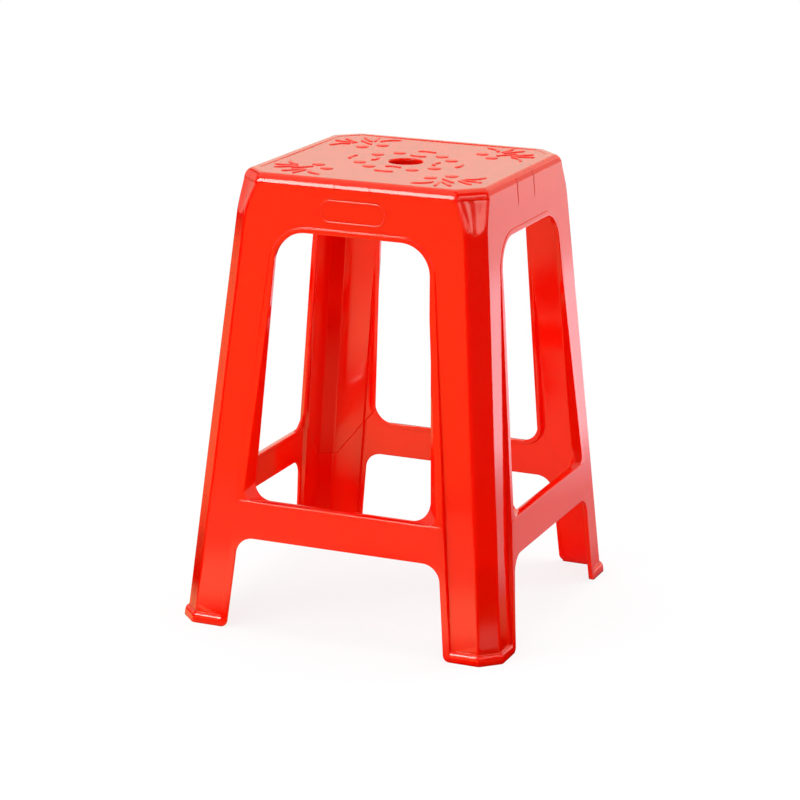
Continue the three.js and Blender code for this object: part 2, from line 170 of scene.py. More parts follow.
FLOOR_EDGES = (-3.5, 3.5, -1.2, 3.4)  # left, right, front and back
LAMP_AIM = (0.0, 0.0, 0.25)
LAMPS = (
    # name, place, width, height, power
    ("overhead_lamp", (-0.2, 0.2, 2.6), 1.8, 1.8, 29.0),
    ("front_lamp", (-1.75, -2.45, 1.3), 2.0, 0.7, 36.0),
    ("low_lamp", (-0.75, -2.6, 0.4), 1.8, 0.5, 22.0),
    ("right_lamp", (2.45, -0.95, 1.05), 0.5, 0.7, 1.0),
    ("side_lamp", (2.2, 2.0, 1.1), 1.6, 1.2, 36.0),
)
DIRECTION_HEIGHT = 0.42
# Glowing cards that light nothing and show only in the gloss: they paint highlights and reflections
# onto the stool, such as the line along the roll over and the streaks in the corner pockets.
CARDS = (
    # name, directions round, directions up, distance, level, warmth
    ("front_card", (-124.0, -106.0), (8.0, 35.0), 3.0, 9.0, 0.12),
    ("front_low_card", (-128.0, -97.0), (-17.2, 1.7), 1.35, 0.46, 0.78),
    ("ceiling_card", (15.0, 300.0), (38.0, 75.0), 1.3, 0.8, 0.4),
    ("back_card", (73.0, 135.0), (-7.0, 19.0), 3.4, 0.83, 0.25),
    ("back_high_card", (73.0, 135.0), (19.0, 32.0), 3.4, 0.65, 0.3),
    ("back_right_card", (45.0, 73.0), (-7.0, 1.0), 3.4, 0.95, 0.1),
    ("back_dim_card", (45.0, 73.0), (1.0, 32.0), 3.4, 0.48, 0.25),
    ("left_card", (140.0, 180.0), (-3.0, 22.0), 3.0, 0.5, 0.3),
    ("left_front_card", (182.0, 232.0), (6.0, 30.0), 3.4, 0.6, 0.3),
    ("front_right_card", (-94.0, -52.0), (8.0, 30.0), 3.4, 0.6, 0.3),
    ("right_card", (0.0, 43.0), (6.0, 30.0), 3.4, 0.5, 0.3),
    ("corner_card_narrow", (-16.0, -11.0), (12.0, 25.0), 2.6, 2.6, 0.2),
    ("corner_card_wide", (-35.0, -23.5), (12.0, 25.0), 2.6, 2.4, 0.2),
    ("corner_card_slim", (-35.0, -30.5), (25.0, 28.5), 2.6, 2.4, 0.2),
    ("corner_card_high", (-24.0, -12.0), (26.0, 41.0), 2.6, 2.0, 0.2),
    ("corner_card_thin", (-21.5, -19.3), (16.8, 19.5), 2.6, 2.6, 0.2),
    ("corner_card_low", (-21.8, -19.8), (8.5, 11.0), 2.6, 2.6, 0.2),
    ("corner_card_soft", (-36.0, -4.0), (17.0, 26.0), 2.9, 0.12, 0.2),
)
PAINTED_FLOOR_REFLECTIONS = (
    # ovals of painted light and painted shadow, the stool's own shadow among them, that the gloss
    # sees on the floor, each over those before it:
    # middle, reach, share of the reach at full colour, colour
    ((-0.3, -0.85, 0.0), (0.75, 0.6, 1.0), 0.6, (0.52, 0.46, 0.22, 1.0)),
    ((-0.26, -0.43, 0.0), (0.17, 0.26, 1.0), 0.4, (1.0, 0.95, 0.5, 1.0)),
    ((0.06, -0.43, 0.0), (0.17, 0.26, 1.0), 0.4, (1.0, 0.95, 0.5, 1.0)),
    ((1.3, 3.0, 0.0), (0.9, 1.3, 1.0), 0.6, (0.85, 0.85, 0.82, 1.0)),
    ((0.31, 0.36, 0.0), (0.26, 0.38, 1.0), 0.4, (0.45, 0.44, 0.42, 1.0)),
    ((0.72, 1.4, 0.0), (0.8, 1.05, 1.0), 0.65, (1.4, 1.4, 1.5, 1.0)),
    ((0.38, -0.25, 0.0), (0.16, 0.12, 1.0), 0.3, (0.6, 0.5, 0.4, 1.0)),
    ((-1.9, 0.6, 0.0), (2.1, 1.0, 1.0), 0.7, (0.4, 0.3, 0.12, 1.0)),
    ((0.12, 0.03, 0.0), (0.2, 0.12, 1.0), 0.5, (0.2, 0.16, 0.08, 1.0)),
    ((-0.14, -0.08, 0.0), (0.17, 0.14, 1.0), 0.5, (0.75, 0.65, 0.3, 1.0)),
    ((0.02, -0.12, 0.0), (0.12, 0.2, 1.0), 0.5, (0.5, 0.45, 0.25, 1.0)),
    ((-0.14, -0.56, 0.0), (0.09, 0.13, 1.0), 0.5, (0.0, 0.0, 0.0, 1.0)),
)
CAMERA_LENS = 126.48
CAMERA_PLACE = (1.0556, -2.5895, 0.9761)
CAMERA_YAW = 22.226
CAMERA_PITCH = -15.336
CAMERA_ROLL = 0.846


def length(name, description, millimetres):
    """A size in metres, written here in millimetres."""
    return FloatProperty(
        name=name,
        description=description,
        default=millimetres * MM,
        min=0.0,
        unit="LENGTH",
        subtype="DISTANCE",
        precision=5,
    )


def colour(name, description, value):
    """A colour that a user may change."""
    return FloatVectorProperty(
        name=name,
        description=description,
        default=value,
        size=3,
        min=0.0,
        max=1.0,
        subtype="COLOR",
    )


class ShellSizes(bpy.types.PropertyGroup):
    """Sizes of the moulded shell."""

    seat_height: length("Seat height", "Floor to the top of the rim", 460)
    floor_half: length("Half width at the floor", "Middle to the wall, at the floor", 171)
    top_half: length("Half width at the seat", "Middle to the wall, at seat height", 129.2)
    wall: length("Wall", "Thickness of the walls", 3)
    facet: length("Corner facet", "How far the corner is cut back along each wall", 16.5)
    facet_top: length("Corner facet at the top", "The same, just under the rim", 24)
    facet_flare: length("Facet flare", "Height over which the facet widens", 45)
    facet_inside: length("Inner facet", "How far the inner corner is cut back", 12)
    facet_round: length("Facet rounding", "Reach of the rounding beside the facet", 2.4)
    pocket_depth: length("Pocket depth", "Depth of the hollow in the corner under the rim", 1.1)
    pocket_top: length("Pocket top", "Half width of the hollow at its top", 14.5)
    pocket_foot: length("Pocket foot", "Half width of the hollow at its foot", 5)
    rim_round: length("Rim rounding", "Reach of the roll over from wall to rim", 8.5)
    rim_drop: length("Rim drop", "Height of the roll over from wall to rim", 10.5)
    rim_width: length("Rim width", "Width of the rim round the seat", 13.7)
    panel_facet: length("Panel facet", "How far the corners of the panel are cut", 19)
    panel_step: length("Panel step", "Drop from the rim to the panel", 0.8)
    panel_dish: length("Panel dish", "Further drop at the middle of the panel", 0.5)
    hole_radius: length("Finger hole radius", "Radius of the hole in the seat", 17.5)
    hole_round: length("Finger hole rounding", "Rounding of the top edge of the hole", 2.2)


class BorderSizes(bpy.types.PropertyGroup):
    """Sizes of the border, the windows, the stretchers and the feet."""

    border_floor: length("Border at the floor", "Middle of a side to its outer edge", 125.5)
    border_top: length("Border at seat height", "The same, at seat height", 79.5)
    border_width: length("Border width", "Width of the flat face of the border", 7.5)
    border_corner: length("Border corner", "Radius of the border's top corners", 40)
    border_above: length("Border above the window", "Width of the border over the window", 5.3)
    border_foot_proud: length("Border at the foot", "How far it stands out at the floor", 3.2)
    border_proud: length("Border at the stretcher", "How far it stands out there", 4.5)
    border_line: length("Border line", "How far it stands out round the top", 0.6)
    border_fade: length("Border fade", "Below the window's top, where it is lowest", 33.5)
    border_slope: length("Border step width", "Half the width of the step in plan", 0.7)
    stretcher_bottom: length("Stretcher height", "Floor to the stretcher", 95.4)
    stretcher_depth: length("Stretcher depth", "Height of the stretcher's face", 38.3)
    stretcher_extra: length("Stretcher proud", "How far it stands out of the border", 0.5)
    stretcher_end: length("Stretcher end corner", "Radius at the ends of its top edge", 6)
    arch_corner: length("Arch corner", "Radius of the corners under the stretcher", 19)
    foot_corner: length("Foot corner", "Radius of a foot's inner bottom corner", 7)
    sill_rise: length("Sill rise", "How much the sill rises towards the inside", 1)
    sill_thickness: length("Sill thickness", "Thickness of the sill seen from inside", 5.5)
    apron_depth: length("Apron depth", "Seat height to the window's top", 54.5)
    bevel_width: length("Bevel width", "Width of the bevel beside the window's foot", 9.5)
    bevel_corner: length("Bevel corner", "Radius of the bevel's bottom corner", 9)
    window_low_corner: length("Window bottom corner", "Radius of the bottom corners", 18)
    window_high_corner: length("Window top corner", "Radius of the top corners", 32)
    window_top_margin: length("Window top margin", "Border's edge to the window's at its top", 4.25)
    window_setback: length("Window setback", "Depth of the window's edge behind the wall", 3)
    edge_round: length("Edge rounding", "Reach of the rounding along the open edges", 1.1)
    band_height: length("Foot band height", "Height of the band round a foot", 11)
    band_proud: length("Foot band proud", "How far the band stands out", 3.3)
    band_round: length("Foot band rounding", "Height of the band's rounded top", 6)
    seam_depth: length("Inner seam", "Depth of the slanting step inside a leg", 1.5)


class ReliefSizes(bpy.types.PropertyGroup):
    """Sizes of the relief on the seat and on the aprons."""

    height: length("Relief height", "Height of the raised forms on the seat", 0.9)
    dot_radius: length("Dot radius", "Radius of a raised dot", 6.8)
    dot_ring: length("Dot ring", "Radius of the ring of dots", 46.7)
    outer_dash_ring: length("Outer dash ring", "Radius of the outer dashes", 59.5)
    outer_dash_length: length("Outer dash length", "Length of an outer dash", 20)
    inner_dash_ring: length("Inner dash ring", "Radius of the inner dashes", 31)
    inner_dash_length: length("Inner dash length", "Length of an inner dash", 17)
    dash_width: length("Dash width", "Width of a dash", 4)
    crease_offset: length("Crease offset", "Middle of a pair of creases to each of them", 23.5)
    crease_length: length("Crease length", "Length of a crease", 27)
    front_crease_offset: length("Front crease offset", "The same offset on the front", 18.5)
    front_crease_length: length("Front crease length", "Length of a crease on the front", 10)
    crease_width: length("Crease width", "Width of a crease", 2)
    crease_proud: length("Crease height", "How far a crease stands out", 0.45)
    front_crease_proud: length("Front crease height", "The same height on the front", 0.06)
    badge_width: length("Badge width", "Width of the oval line on the front", 68)
    badge_height: length("Badge height", "Height of the oval line on the front", 21)
    badge_middle: length("Badge middle", "Floor to the middle of the oval line", 429)
    badge_line: length("Badge line", "Width of the oval line", 1.8)
    badge_proud: length("Badge proud", "How far the oval line stands out", 0.12)


class Finishes(bpy.types.PropertyGroup):
    """Colours and finish of the plastic."""

    red: colour("Red", "Colour of the plastic", (0.97, 0.007, 0.0005))
    deep_red: colour("Deep red", "Colour of its darker spots", (0.94, 0.005, 0.0005))
    gloss: FloatProperty(
        name="Gloss roughness",
        description="Roughness of the smooth faces",
        default=0.12,
        min=0.0,
        max=1.0,
    )
    relief_gloss: FloatProperty(
        name="Relief roughness",
        description="Roughness of the raised forms on the seat",
        default=0.3,
        min=0.0,
        max=1.0,
    )
    sides: IntProperty(
        name="Sides",
        description="Number of equal sides that the cell is turned to",
        default=4,
        min=3,
        max=8,
    )


# Shared shape rules


def along(height, low_height, low_value, high_height, high_value):
    """The value on a straight line between two heights."""
    share = (height - low_height) / (high_height - low_height)
    return low_value + (high_value - low_value) * share


def smooth_step(share):
    """0 up to -1, 1 from 1 on, with a smooth rise between."""
    inner = max(-1.0, min(1.0, share))
    return 0.5 + 0.75 * inner - 0.25 * inner ** 3


def ease(share):
    """0 up to 0, 1 from 1 on, with a smooth rise between."""
    return smooth_step(2.0 * share - 1.0)


class StoolForm:
    """Every line and face of the shell, worked out from its sizes."""

    def __init__(self, shell, border):
        self.shell = shell
        self.border = border
        self.stretcher_top = border.stretcher_bottom + border.stretcher_depth
        self.window_bottom = self.stretcher_top + border.sill_rise
        self.window_top = shell.seat_height - border.apron_depth
        self.border_top = self.window_top + border.border_above
        self.fade_height = self.window_top - border.border_fade
        self.flare_start = shell.seat_height - shell.facet_flare
        self.rim_foot = shell.seat_height - shell.rim_drop
        self.lean = (shell.floor_half - shell.top_half) / shell.seat_height
        self.roll_turn = math.atan(self.lean * shell.rim_drop / shell.rim_round)
        self.roll_start = self.rim_foot + shell.rim_drop * math.sin(self.roll_turn)
        self.pocket_end = self.roll_start - POCKET_GAP
        self.panel_half = shell.top_half - shell.rim_width
        self.corner_height = self.border_top - border.border_corner
        self.corner_side = self.border_edge(self.corner_height) - border.border_corner

    def wall_face(self, height):
        """Middle of the stool to the outside of a wall."""
        shell = self.shell
        return along(height, 0.0, shell.floor_half, shell.seat_height, shell.top_half)

    def border_edge(self, height):
        """Middle of a side to the outer edge of the border."""
        border = self.border
        return along(height, 0.0, border.border_floor, self.shell.seat_height, border.border_top)

    def opening_edge(self, height):
        """Middle of a side to the inner edge of the border's flat face."""
        return self.border_edge(height) - self.border.border_width

    def window_edge(self, height):
        """Middle of a side to the window's edge."""
        border = self.border
        low = self.opening_edge(self.stretcher_top) - border.bevel_width
        high = self.border_edge(self.window_top) - border.window_top_margin
        return along(height, self.window_bottom, low, self.window_top, high)

    def border_proud(self, height):
        """How far the border stands out of the wall."""
        border = self.border
        if height < self.stretcher_top:
            return along(
                height, 0.0, border.border_foot_proud, self.stretcher_top, border.border_proud
            )
        faded = along(
            height, self.stretcher_top, border.border_proud, self.fade_height, border.border_line
        )
        return max(faded, border.border_line)

    def inside_border(self, side, height):
        """How far a point lies inside the border's outer edge."""
        if height <= self.corner_height:
            return self.border_edge(height) - side
        if side <= self.corner_side:
            return self.border_top - height
        reach = math.hypot(side - self.corner_side, height - self.corner_height)
        return self.border.border_corner - reach

    def border_row(self, inset):
        """A line at an equal distance inside the border's outer edge."""
        row = []
        for height in np.linspace(ROW_START, self.corner_height, 70):
            row.append((self.border_edge(height) - inset, height))
        radius = self.border.border_corner - inset
        for turn in np.linspace(0.0, math.pi / 2, 22)[1:]:
            side = self.corner_side + radius * math.cos(turn)
            height = self.corner_height + radius * math.sin(turn)
            row.append((side, height))
        for side in np.linspace(self.corner_side, 0.0, 9)[1:]:
            row.append((side, self.border_top - inset))
        return row

    def stretcher_line(self, side):
        """Height of the stretcher's top edge, which drops at its ends."""
        corner = self.border.stretcher_end
        end = self.border_edge(self.stretcher_top)
        past = min(max(side - (end - corner), 0.0), corner)
        return self.stretcher_top - corner + math.sqrt(max(corner ** 2 - past ** 2, 0.0))

    def stretcher_share(self, side, height):
        """1 on the stretcher's face, fading out down the legs."""
        below = self.stretcher_line(side) - STRETCHER_STEP - height
        top = smooth_step(below / STRETCHER_STEP)
        fade = ease((height - STRETCHER_FADE) / (self.border.stretcher_bottom - STRETCHER_FADE))
        return top * fade

    def band_rows(self):
        """Heights of the rows over the rounded top of the foot band."""
        border = self.border
        start = border.band_height - border.band_round
        turns = np.radians(BAND_TURNS)
        return [float(start + border.band_round * math.sin(turn)) for turn in turns]

    def band_share(self, height):
        """1 on the band round a foot, 0 above it and rounded between."""
        border = self.border
        rise = 1.0 - (border.band_height - height) / border.band_round
        if rise <= 0.0:
            return 1.0
        return math.sqrt(max(1.0 - rise ** 2, 0.0))

    def jamb_depth(self, height):
        """Depth of the window's edge: behind the wall beside the window, flush at the sill."""
        rise = (height - self.window_bottom - JAMB_START) / JAMB_RISE
        return -self.border.window_setback * ease(rise)

    def outer_depth(self, side, height):
        """How far the outside stands out of the plain wall."""
        border = self.border
        inside = smooth_step(self.inside_border(side, height) / border.border_slope)
        proud = self.border_proud(height)
        proud += border.stretcher_extra * self.stretcher_share(side, height)
        return max(border.band_proud * self.band_share(height), proud * inside)

    def seam_line(self, side):
        """Height of the slanting step inside a leg."""
        return SEAM_HEIGHT + max(SEAM_BEND - side, 0.0) * SEAM_RISE / SEAM_RUN

    def seam_share(self, side, height):
        """1 above the slanting step inside a leg, where the wall is thicker."""
        return smooth_step((height - self.seam_line(side)) / SEAM_HALF)

    def outside_window(self, side, height):
        """How far a point lies outside the window's edge."""
        border = self.border
        low = self.window_bottom + border.window_low_corner
        high = self.window_top - border.window_high_corner
        if height < low:
            radius = border.window_low_corner
            centre = self.window_edge(low) - radius
            if side < centre:
                return self.window_bottom - height
            return math.hypot(side - centre, height - low) - radius
        if height > high:
            radius = border.window_high_corner
            centre = self.window_edge(high) - radius
            if side < centre:
                return height - self.window_top
            return math.hypot(side - centre, height - high) - radius
        return side - self.window_edge(height)

    def flange(self, height):
        """Middle and half width of the slope behind the window's flange."""
        share = ease((height - self.window_bottom) / FLANGE_RISE)
        middle = self.border.sill_thickness * (1 - share) + FLANGE_WIDTH * share
        half = SILL_STEP_HALF * (1 - share) + FLANGE_SLOPE_HALF * share
        return middle, half

    def inner_depth(self, side, height):
        """How far the inside stands out of the plain wall, mostly below zero."""
        border = self.border
        wall = self.shell.wall
        middle, half = self.flange(height)
        behind = smooth_step((self.inside_border(side, height) - wall) / border.border_slope)
        behind *= smooth_step((self.outside_window(side, height) - middle) / half)
        proud = self.border_proud(height)
        proud += border.stretcher_extra * self.stretcher_share(side, height)
        seam = border.seam_depth * self.seam_share(side, height)
        return behind * proud - wall - seam

    def outer_point(self, side, height, depth=None):
        """A point on the outside of the front wall."""
        if depth is None:
            depth = self.outer_depth(side, height)
        return Vector((side, -(self.wall_face(height) + depth), height))

    def inner_point(self, side, height):
        """A point on the inside of the front wall."""
        depth = self.inner_depth(side, height)
        return Vector((side, -(self.wall_face(height) + depth), height))

    def facet_cut(self, height):
        """How far the corner is cut back along each wall."""
        shell = self.shell
        rise = (height - self.flare_start) / (self.rim_foot - self.flare_start)
        share = ease(rise * FLARE_SHARE)
        full = ease(FLARE_SHARE)
        return shell.facet + (shell.facet_top - shell.facet) * min(share / full, 1.0)

    def outer_corner(self, height):
        """Half width, facet cut, rounding and hollow of the outside at a height."""
        band = self.border.band_proud * self.band_share(height)
        half = self.wall_face(height) + band
        cut = self.facet_cut(height) + (2 - SQUARE_ROOT_TWO) * band
        return half, cut, self.shell.facet_round, self.pocket(height)

    def pocket(self, height):
        """Depth and half width of the hollow in the facet under the rim."""
        shell = self.shell
        rise = (height - self.flare_start) / (self.pocket_end - self.flare_start)
        if not 0.0 < rise < 1.0:
            return FLAT
        width = shell.pocket_foot + (shell.pocket_top - shell.pocket_foot) * rise
        opening = ease(rise / POCKET_OPENING_SHARE)
        closing = 1.0 - ease((height - self.pocket_end + POCKET_CLOSING) / POCKET_CLOSING)
        depth = shell.pocket_depth * width / shell.pocket_top * opening * closing
        return depth, width

    def inner_corner(self, height):
        """Half width, facet cut, rounding and hollow of the inside at a height."""
        seam = self.border.seam_depth * self.seam_share(SEAM_BEND, height)
        half = self.wall_face(height) - self.shell.wall - seam
        grown = self.facet_cut(height) - self.shell.facet
        return half, self.shell.facet_inside + grown, INNER_ROUND, FLAT

    def panel_height(self, radius):
        """Height of the dished panel's top at a distance from the middle."""
        shell = self.shell
        reach = min(radius / self.panel_half, PANEL_REACH_LIMIT)
        edge = shell.seat_height - shell.panel_step
        return edge - shell.panel_dish * (1.0 - reach ** 2)


def bend_point(start, bend, end, share):
    """A point on the curve that leaves the start towards the bend and comes from it to the end."""
    return start * (1 - share) ** 2 + bend * (2 * share * (1 - share)) + end * share ** 2


def corner_columns(half, cut, rounding, hollow, height):
    """Points from the wall, over the rounding, to the middle of a corner facet."""
    edge = Vector((half - cut, -half, height))
    slant = Vector((1.0, 1.0, 0.0)) / SQUARE_ROOT_TWO
    inward = Vector((-1.0, 1.0, 0.0)) / SQUARE_ROOT_TWO
    start = edge - Vector((rounding, 0.0, 0.0))
    end = edge + slant * rounding
    middle = edge + slant * (cut / SQUARE_ROOT_TWO)
    columns = [bend_point(start, edge, end, share) for share in ROUNDING_SHARES]
    depth, width = hollow
    reach = (middle - end).length
    for share in FACET_SHARES:
        sink = depth * max(1.0 - ((1.0 - share) * reach / width) ** 2, 0.0)
        columns.append(end.lerp(middle, share) + inward * sink)
    return columns


def column_start(corner):
    """Where the rounding beside a facet starts, along the wall."""
    half, cut, rounding, _ = corner
    return half - cut - rounding


# Lines round the openings: each point has a place and the direction of the face beside it


def line_part(start, end, normal, steps):
    """Points on a straight part, without its first."""
    points = []
    for share in np.linspace(0.0, 1.0, steps + 1)[1:]:
        side = start[0] + (end[0] - start[0]) * share
        height = start[1] + (end[1] - start[1]) * share
        points.append((side, height, normal[0], normal[1]))
    return points


def arc_part(centre, radius, first, last, steps, outward=1.0):
    """Points on a rounded corner, without its first."""
    points = []
    for turn in np.linspace(first, last, steps + 1)[1:]:
        across = math.cos(turn)
        upward = math.sin(turn)
        place = (centre[0] + radius * across, centre[1] + radius * upward)
        points.append((place[0], place[1], outward * across, outward * upward))
    return points


def arch_line(form, end_side):
    """From the middle of the stretcher's underside round the leg to its corner."""
    border = form.border
    radius = border.arch_corner
    low = border.stretcher_bottom - radius
    centre = (form.opening_edge(low) - radius, low)
    foot = border.foot_corner
    foot_side = form.opening_edge(foot)
    top = border.stretcher_bottom
    points = [(0.0, top, 0.0, 1.0)]
    points += line_part((0.0, top), (centre[0], top), (0.0, 1.0), 10)
    points += arc_part(centre, radius, math.pi / 2, 0.0, 14)
    points += line_part((centre[0] + radius, low), (foot_side, foot), (1.0, 0.0), 10)
    points += arc_part((foot_side + foot, foot), foot, math.pi, 1.5 * math.pi, 9, outward=-1.0)
    points += line_part((foot_side + foot, 0.0), (end_side, 0.0), (0.0, 1.0), 6)
    return np.array(points)


def window_line(form, bevelled):
    """From the middle of the window's top, round it, to the middle of its sill.

    Bevelled gives the outer edge of the bevel and of the sill instead of the window's own edge.
    """
    border = form.border
    high = form.window_top - border.window_high_corner
    high_radius = border.window_high_corner
    high_centre = (form.window_edge(high) - high_radius, high)
    if bevelled:
        low_radius = border.bevel_corner
        bottom = form.stretcher_top
        low = bottom + low_radius
        low_side = form.opening_edge(low)
    else:
        low_radius = border.window_low_corner
        bottom = form.window_bottom
        low = bottom + low_radius
        low_side = form.window_edge(low)
    points = [(0.0, form.window_top, 0.0, 1.0)]
    points += line_part((0.0, form.window_top), (high_centre[0], form.window_top), (0.0, 1.0), 6)
    points += arc_part(high_centre, high_radius, math.pi / 2, 0.0, 20)
    for share in np.linspace(0.0, 1.0, 41)[1:]:
        height = high + (low - high) * share
        side = form.window_edge(height)
        if bevelled:
            side = max(side, form.opening_edge(height))
        points.append((side, height, 1.0, 0.0))
    points += arc_part((low_side - low_radius, low), low_radius, 0.0, -math.pi / 2, 14)
    points += line_part((low_side - low_radius, bottom), (0.0, bottom), (0.0, -1.0), 10)
    return np.array(points)


def sample(line, places):
    """Points of a line at fractional places along its list."""
    index = np.arange(len(line))
    return np.stack([np.interp(places, index, line[:, k]) for k in range(4)], axis=1)


def shifted(line, reach):
    """The line moved onto the face beside it."""
    return line[:, :2] + line[:, 2:] * reach


def rounding_share(run, rounding):
    """How much of a straight run a rounding takes up, as a share."""
    return min(ROUNDING_LIMIT_SHARE, rounding / max(run.length, NEAR_ZERO))


def rounded_profile(points, rounding, steps=4):
    """A line through the points with its inner corners rounded. The ends stay."""
    out = []
    last = len(points) - 2
    for k in range(1, len(points) - 1):
        before, corner, after = points[k - 1:k + 2]
        back = before - corner
        ahead = after - corner
        back_share = 1.0 if k == 1 else rounding_share(back, rounding)
        ahead_share = 1.0 if k == last else rounding_share(ahead, rounding)
        start = corner + back * back_share
        end = corner + ahead * ahead_share
        for share in np.linspace(0.0, 1.0, steps + 1):
            out.append(bend_point(start, corner, end, share))
    return out


# Flat sheets cut along feature lines


def inside_outline(points, outline):
    """Which points lie inside a closed outline."""
    found = np.zeros(len(points), bool)
    side, height = points.T
    following = np.roll(outline, -1, axis=0)
    for (x0, z0), (x1, z1) in zip(outline, following):
        if z0 == z1:
            continue
        crosses = (z0 > height) != (z1 > height)
        reach = x0 + (height - z0) * (x1 - x0) / (z1 - z0)
        found ^= crosses & (side < reach)
    return found


def cut_sheet(outline, rows):
    """Corner points and triangles of the outline's inside, cut along the rows."""
    points = [tuple(p) for p in outline]
    count = len(points)
    edges = [(i, (i + 1) % count) for i in range(count)]
    for row in rows:
        first = len(points)
        points += [tuple(p) for p in row]
        edges += [(first + i, first + i + 1) for i in range(len(row) - 1)]
    flat = [Vector(p) / MM for p in points]
    made = delaunay_2d_cdt(flat, edges, [], 0, CUT_MERGE)
    corners = np.array([tuple(v) for v in made[0]]) * MM
    faces = np.array([f for f in made[2] if len(f) == 3])
    middles = corners[faces].mean(axis=1)
    kept = faces[inside_outline(middles, np.array(outline))]
    return corners, kept


def places_on(line, corners):
    """Places along a line where sheet corners lie on it."""
    places = []
    for k in range(len(line) - 1):
        start = line[k]
        run = line[k + 1] - start
        size = float(run @ run)
        if size < NO_LENGTH:
            continue
        share = ((corners - start) @ run) / size
        off = np.linalg.norm(corners - (start + share[:, None] * run), axis=1)
        near = (off < ON_LINE) & (share > -SHARE_SLACK) & (share < 1 + SHARE_SLACK)
        places += [k + float(s) for s in np.clip(share[near], 0.0, 1.0)]
    return tidy_places(places)


def tidy_places(places):
    """Sorted places without doubles."""
    out = []
    for place in sorted(places):
        if not out or place - out[-1] > PLACE_GAP:
            out.append(place)
    return out


def places_between(places, known):
    """Places along a sampled line, as places along the line that it was sampled from."""
    return list(np.interp(places, np.arange(len(known)), known))


class ShellCell:
    """One eighth of the shell: half of the front side, up to the corner's middle."""

    def __init__(self, form):
        self.form = form
        self.points = []
        self.faces = []
        self.sheets = {}
        self.arches = {}
        self.windows = {}

    def add_grid(self, rows):
        """Adds faces between rows of points with equal counts."""
        for lower, upper in zip(rows, rows[1:]):
            if len(lower) != len(upper):
                raise ValueError("two rows of the shell have different counts")
            for k in range(len(lower) - 1):
                ring = (lower[k], lower[k + 1], upper[k + 1], upper[k])
                first = len(self.points)
                self.points += [Vector(p) for p in ring]
                self.faces.append((first, first + 1, first + 2, first + 3))

    def add_sheet(self, corners, triangles, place):
        """Adds a cut sheet, put on a wall by the place rule."""
        first = len(self.points)
        self.points += [place(side, height) for side, height in corners]
        for triangle in triangles:
            self.faces.append(tuple(first + int(i) for i in triangle))

    def feature_rows(self, outer):
        """Lines along which a sheet is cut so that its steps come out clean."""
        form = self.form
        border = form.border
        rows = []
        shift = 0.0 if outer else form.shell.wall
        for share in STEP_ROWS:
            rows.append(form.border_row(shift + share * border.border_slope))
        above = form.stretcher_top + CROSS_ROW_ABOVE
        for height in (form.fade_height, above, *CROSS_ROW_HEIGHTS):
            edge = form.border_edge(height)
            rows.append([(edge - CROSS_ROW_INSIDE, height), (edge + CROSS_ROW_OUTSIDE, height)])
        return rows + (self.outer_rows() if outer else self.inner_rows())

    def outer_rows(self):
        """Lines over the foot band and along the stretcher's top edge."""
        form = self.form
        rows = []
        for height in form.band_rows():
            rows.append([(side, height) for side in BAND_ROW_ENDS])
        end = form.border_edge(form.stretcher_top)
        for share in STEP_ROWS:
            row = []
            for side in np.linspace(STRETCHER_ROW_START, end, 24):
                height = form.stretcher_line(side) - STRETCHER_STEP - share * STRETCHER_STEP
                row.append((side, height))
            rows.append(row)
        return rows

    def inner_rows(self):
        """Lines along the slanting step and behind the window's flange."""
        form = self.form
        rows = []
        for share in STEP_ROWS:
            row = []
            for side in SEAM_ROW_SIDES:
                row.append((side, form.seam_line(side) + share * SEAM_HALF))
            rows.append(row)
        edge_line = window_line(form, False)
        for share in STEP_ROWS:
            row = []
            for side, height, across, upward in edge_line:
                middle, half = form.flange(height)
                reach = middle + share * half
                row.append((side + across * reach, height + upward * reach))
            rows.append(row)
        return rows

    def side_heights(self, outer):
        """Heights at which the corner columns get a row of their own."""
        form = self.form
        heights = [form.border.edge_round, *COLUMN_HEIGHTS]
        heights += list(np.linspace(COLUMN_START, form.flare_start - COLUMN_GAP, 12))
        heights += list(np.linspace(form.flare_start, form.pocket_end - POCKET_CLOSING, 16))
        heights += [form.pocket_end - drop for drop in POCKET_DROPS]
        heights.append(form.roll_start)
        if outer:
            heights += form.band_rows()
        else:
            heights += [form.seam_line(SEAM_BEND) + share * SEAM_HALF for share in STEP_ROWS]
        return sorted(heights)

    def build_sheets(self):
        """Works out both sheets with the same points along the open edges.

        The first round finds the places where the cut lines of either sheet meet those edges, and
        the second one gives them to both sheets.
        """
        form = self.form
        reach = form.border.edge_round
        corner_rules = {True: form.outer_corner, False: form.inner_corner}
        arches = {}
        windows = {}
        for outer in (True, False):
            arches[outer] = arch_line(form, column_start(corner_rules[outer](0.0)))
            windows[outer] = window_line(form, outer)
        arch_places = list(range(len(arches[True])))
        window_places = list(range(len(windows[True])))
        for _ in range(2):
            found_arch = list(arch_places)
            found_window = list(window_places)
            for outer in (True, False):
                arch = shifted(sample(arches[outer], arch_places), reach)
                arch[-1, 0] = column_start(corner_rules[outer](reach))
                window = shifted(sample(windows[outer], window_places), reach)
                side_line = []
                for height in self.side_heights(outer)[1:]:
                    side_line.append((column_start(corner_rules[outer](height)), height))
                top_height = form.roll_start
                top_end = side_line[-1][0]
                top_line = []
                for turn in np.radians(TOP_TURNS):
                    side = form.wall_face(top_height) * math.tan(turn)
                    if side < top_end - TOP_GAP:
                        top_line.append((side, top_height))
                outline = [tuple(p) for p in arch] + side_line + top_line
                outline.append((0.0, top_height))
                outline += [tuple(p) for p in window]
                corners, triangles = cut_sheet(outline, self.feature_rows(outer))
                used = np.unique(triangles)
                on_arch = places_on(arch, corners[used])
                on_window = places_on(window, corners[used])
                found_arch += places_between(on_arch, arch_places)
                found_window += places_between(on_window, window_places)
                self.sheets[outer] = (corners, triangles, used)
                self.arches[outer] = arch
                self.windows[outer] = window
            arch_places = tidy_places(found_arch)
            window_places = tidy_places(found_window)
        return arches, windows, arch_places, window_places

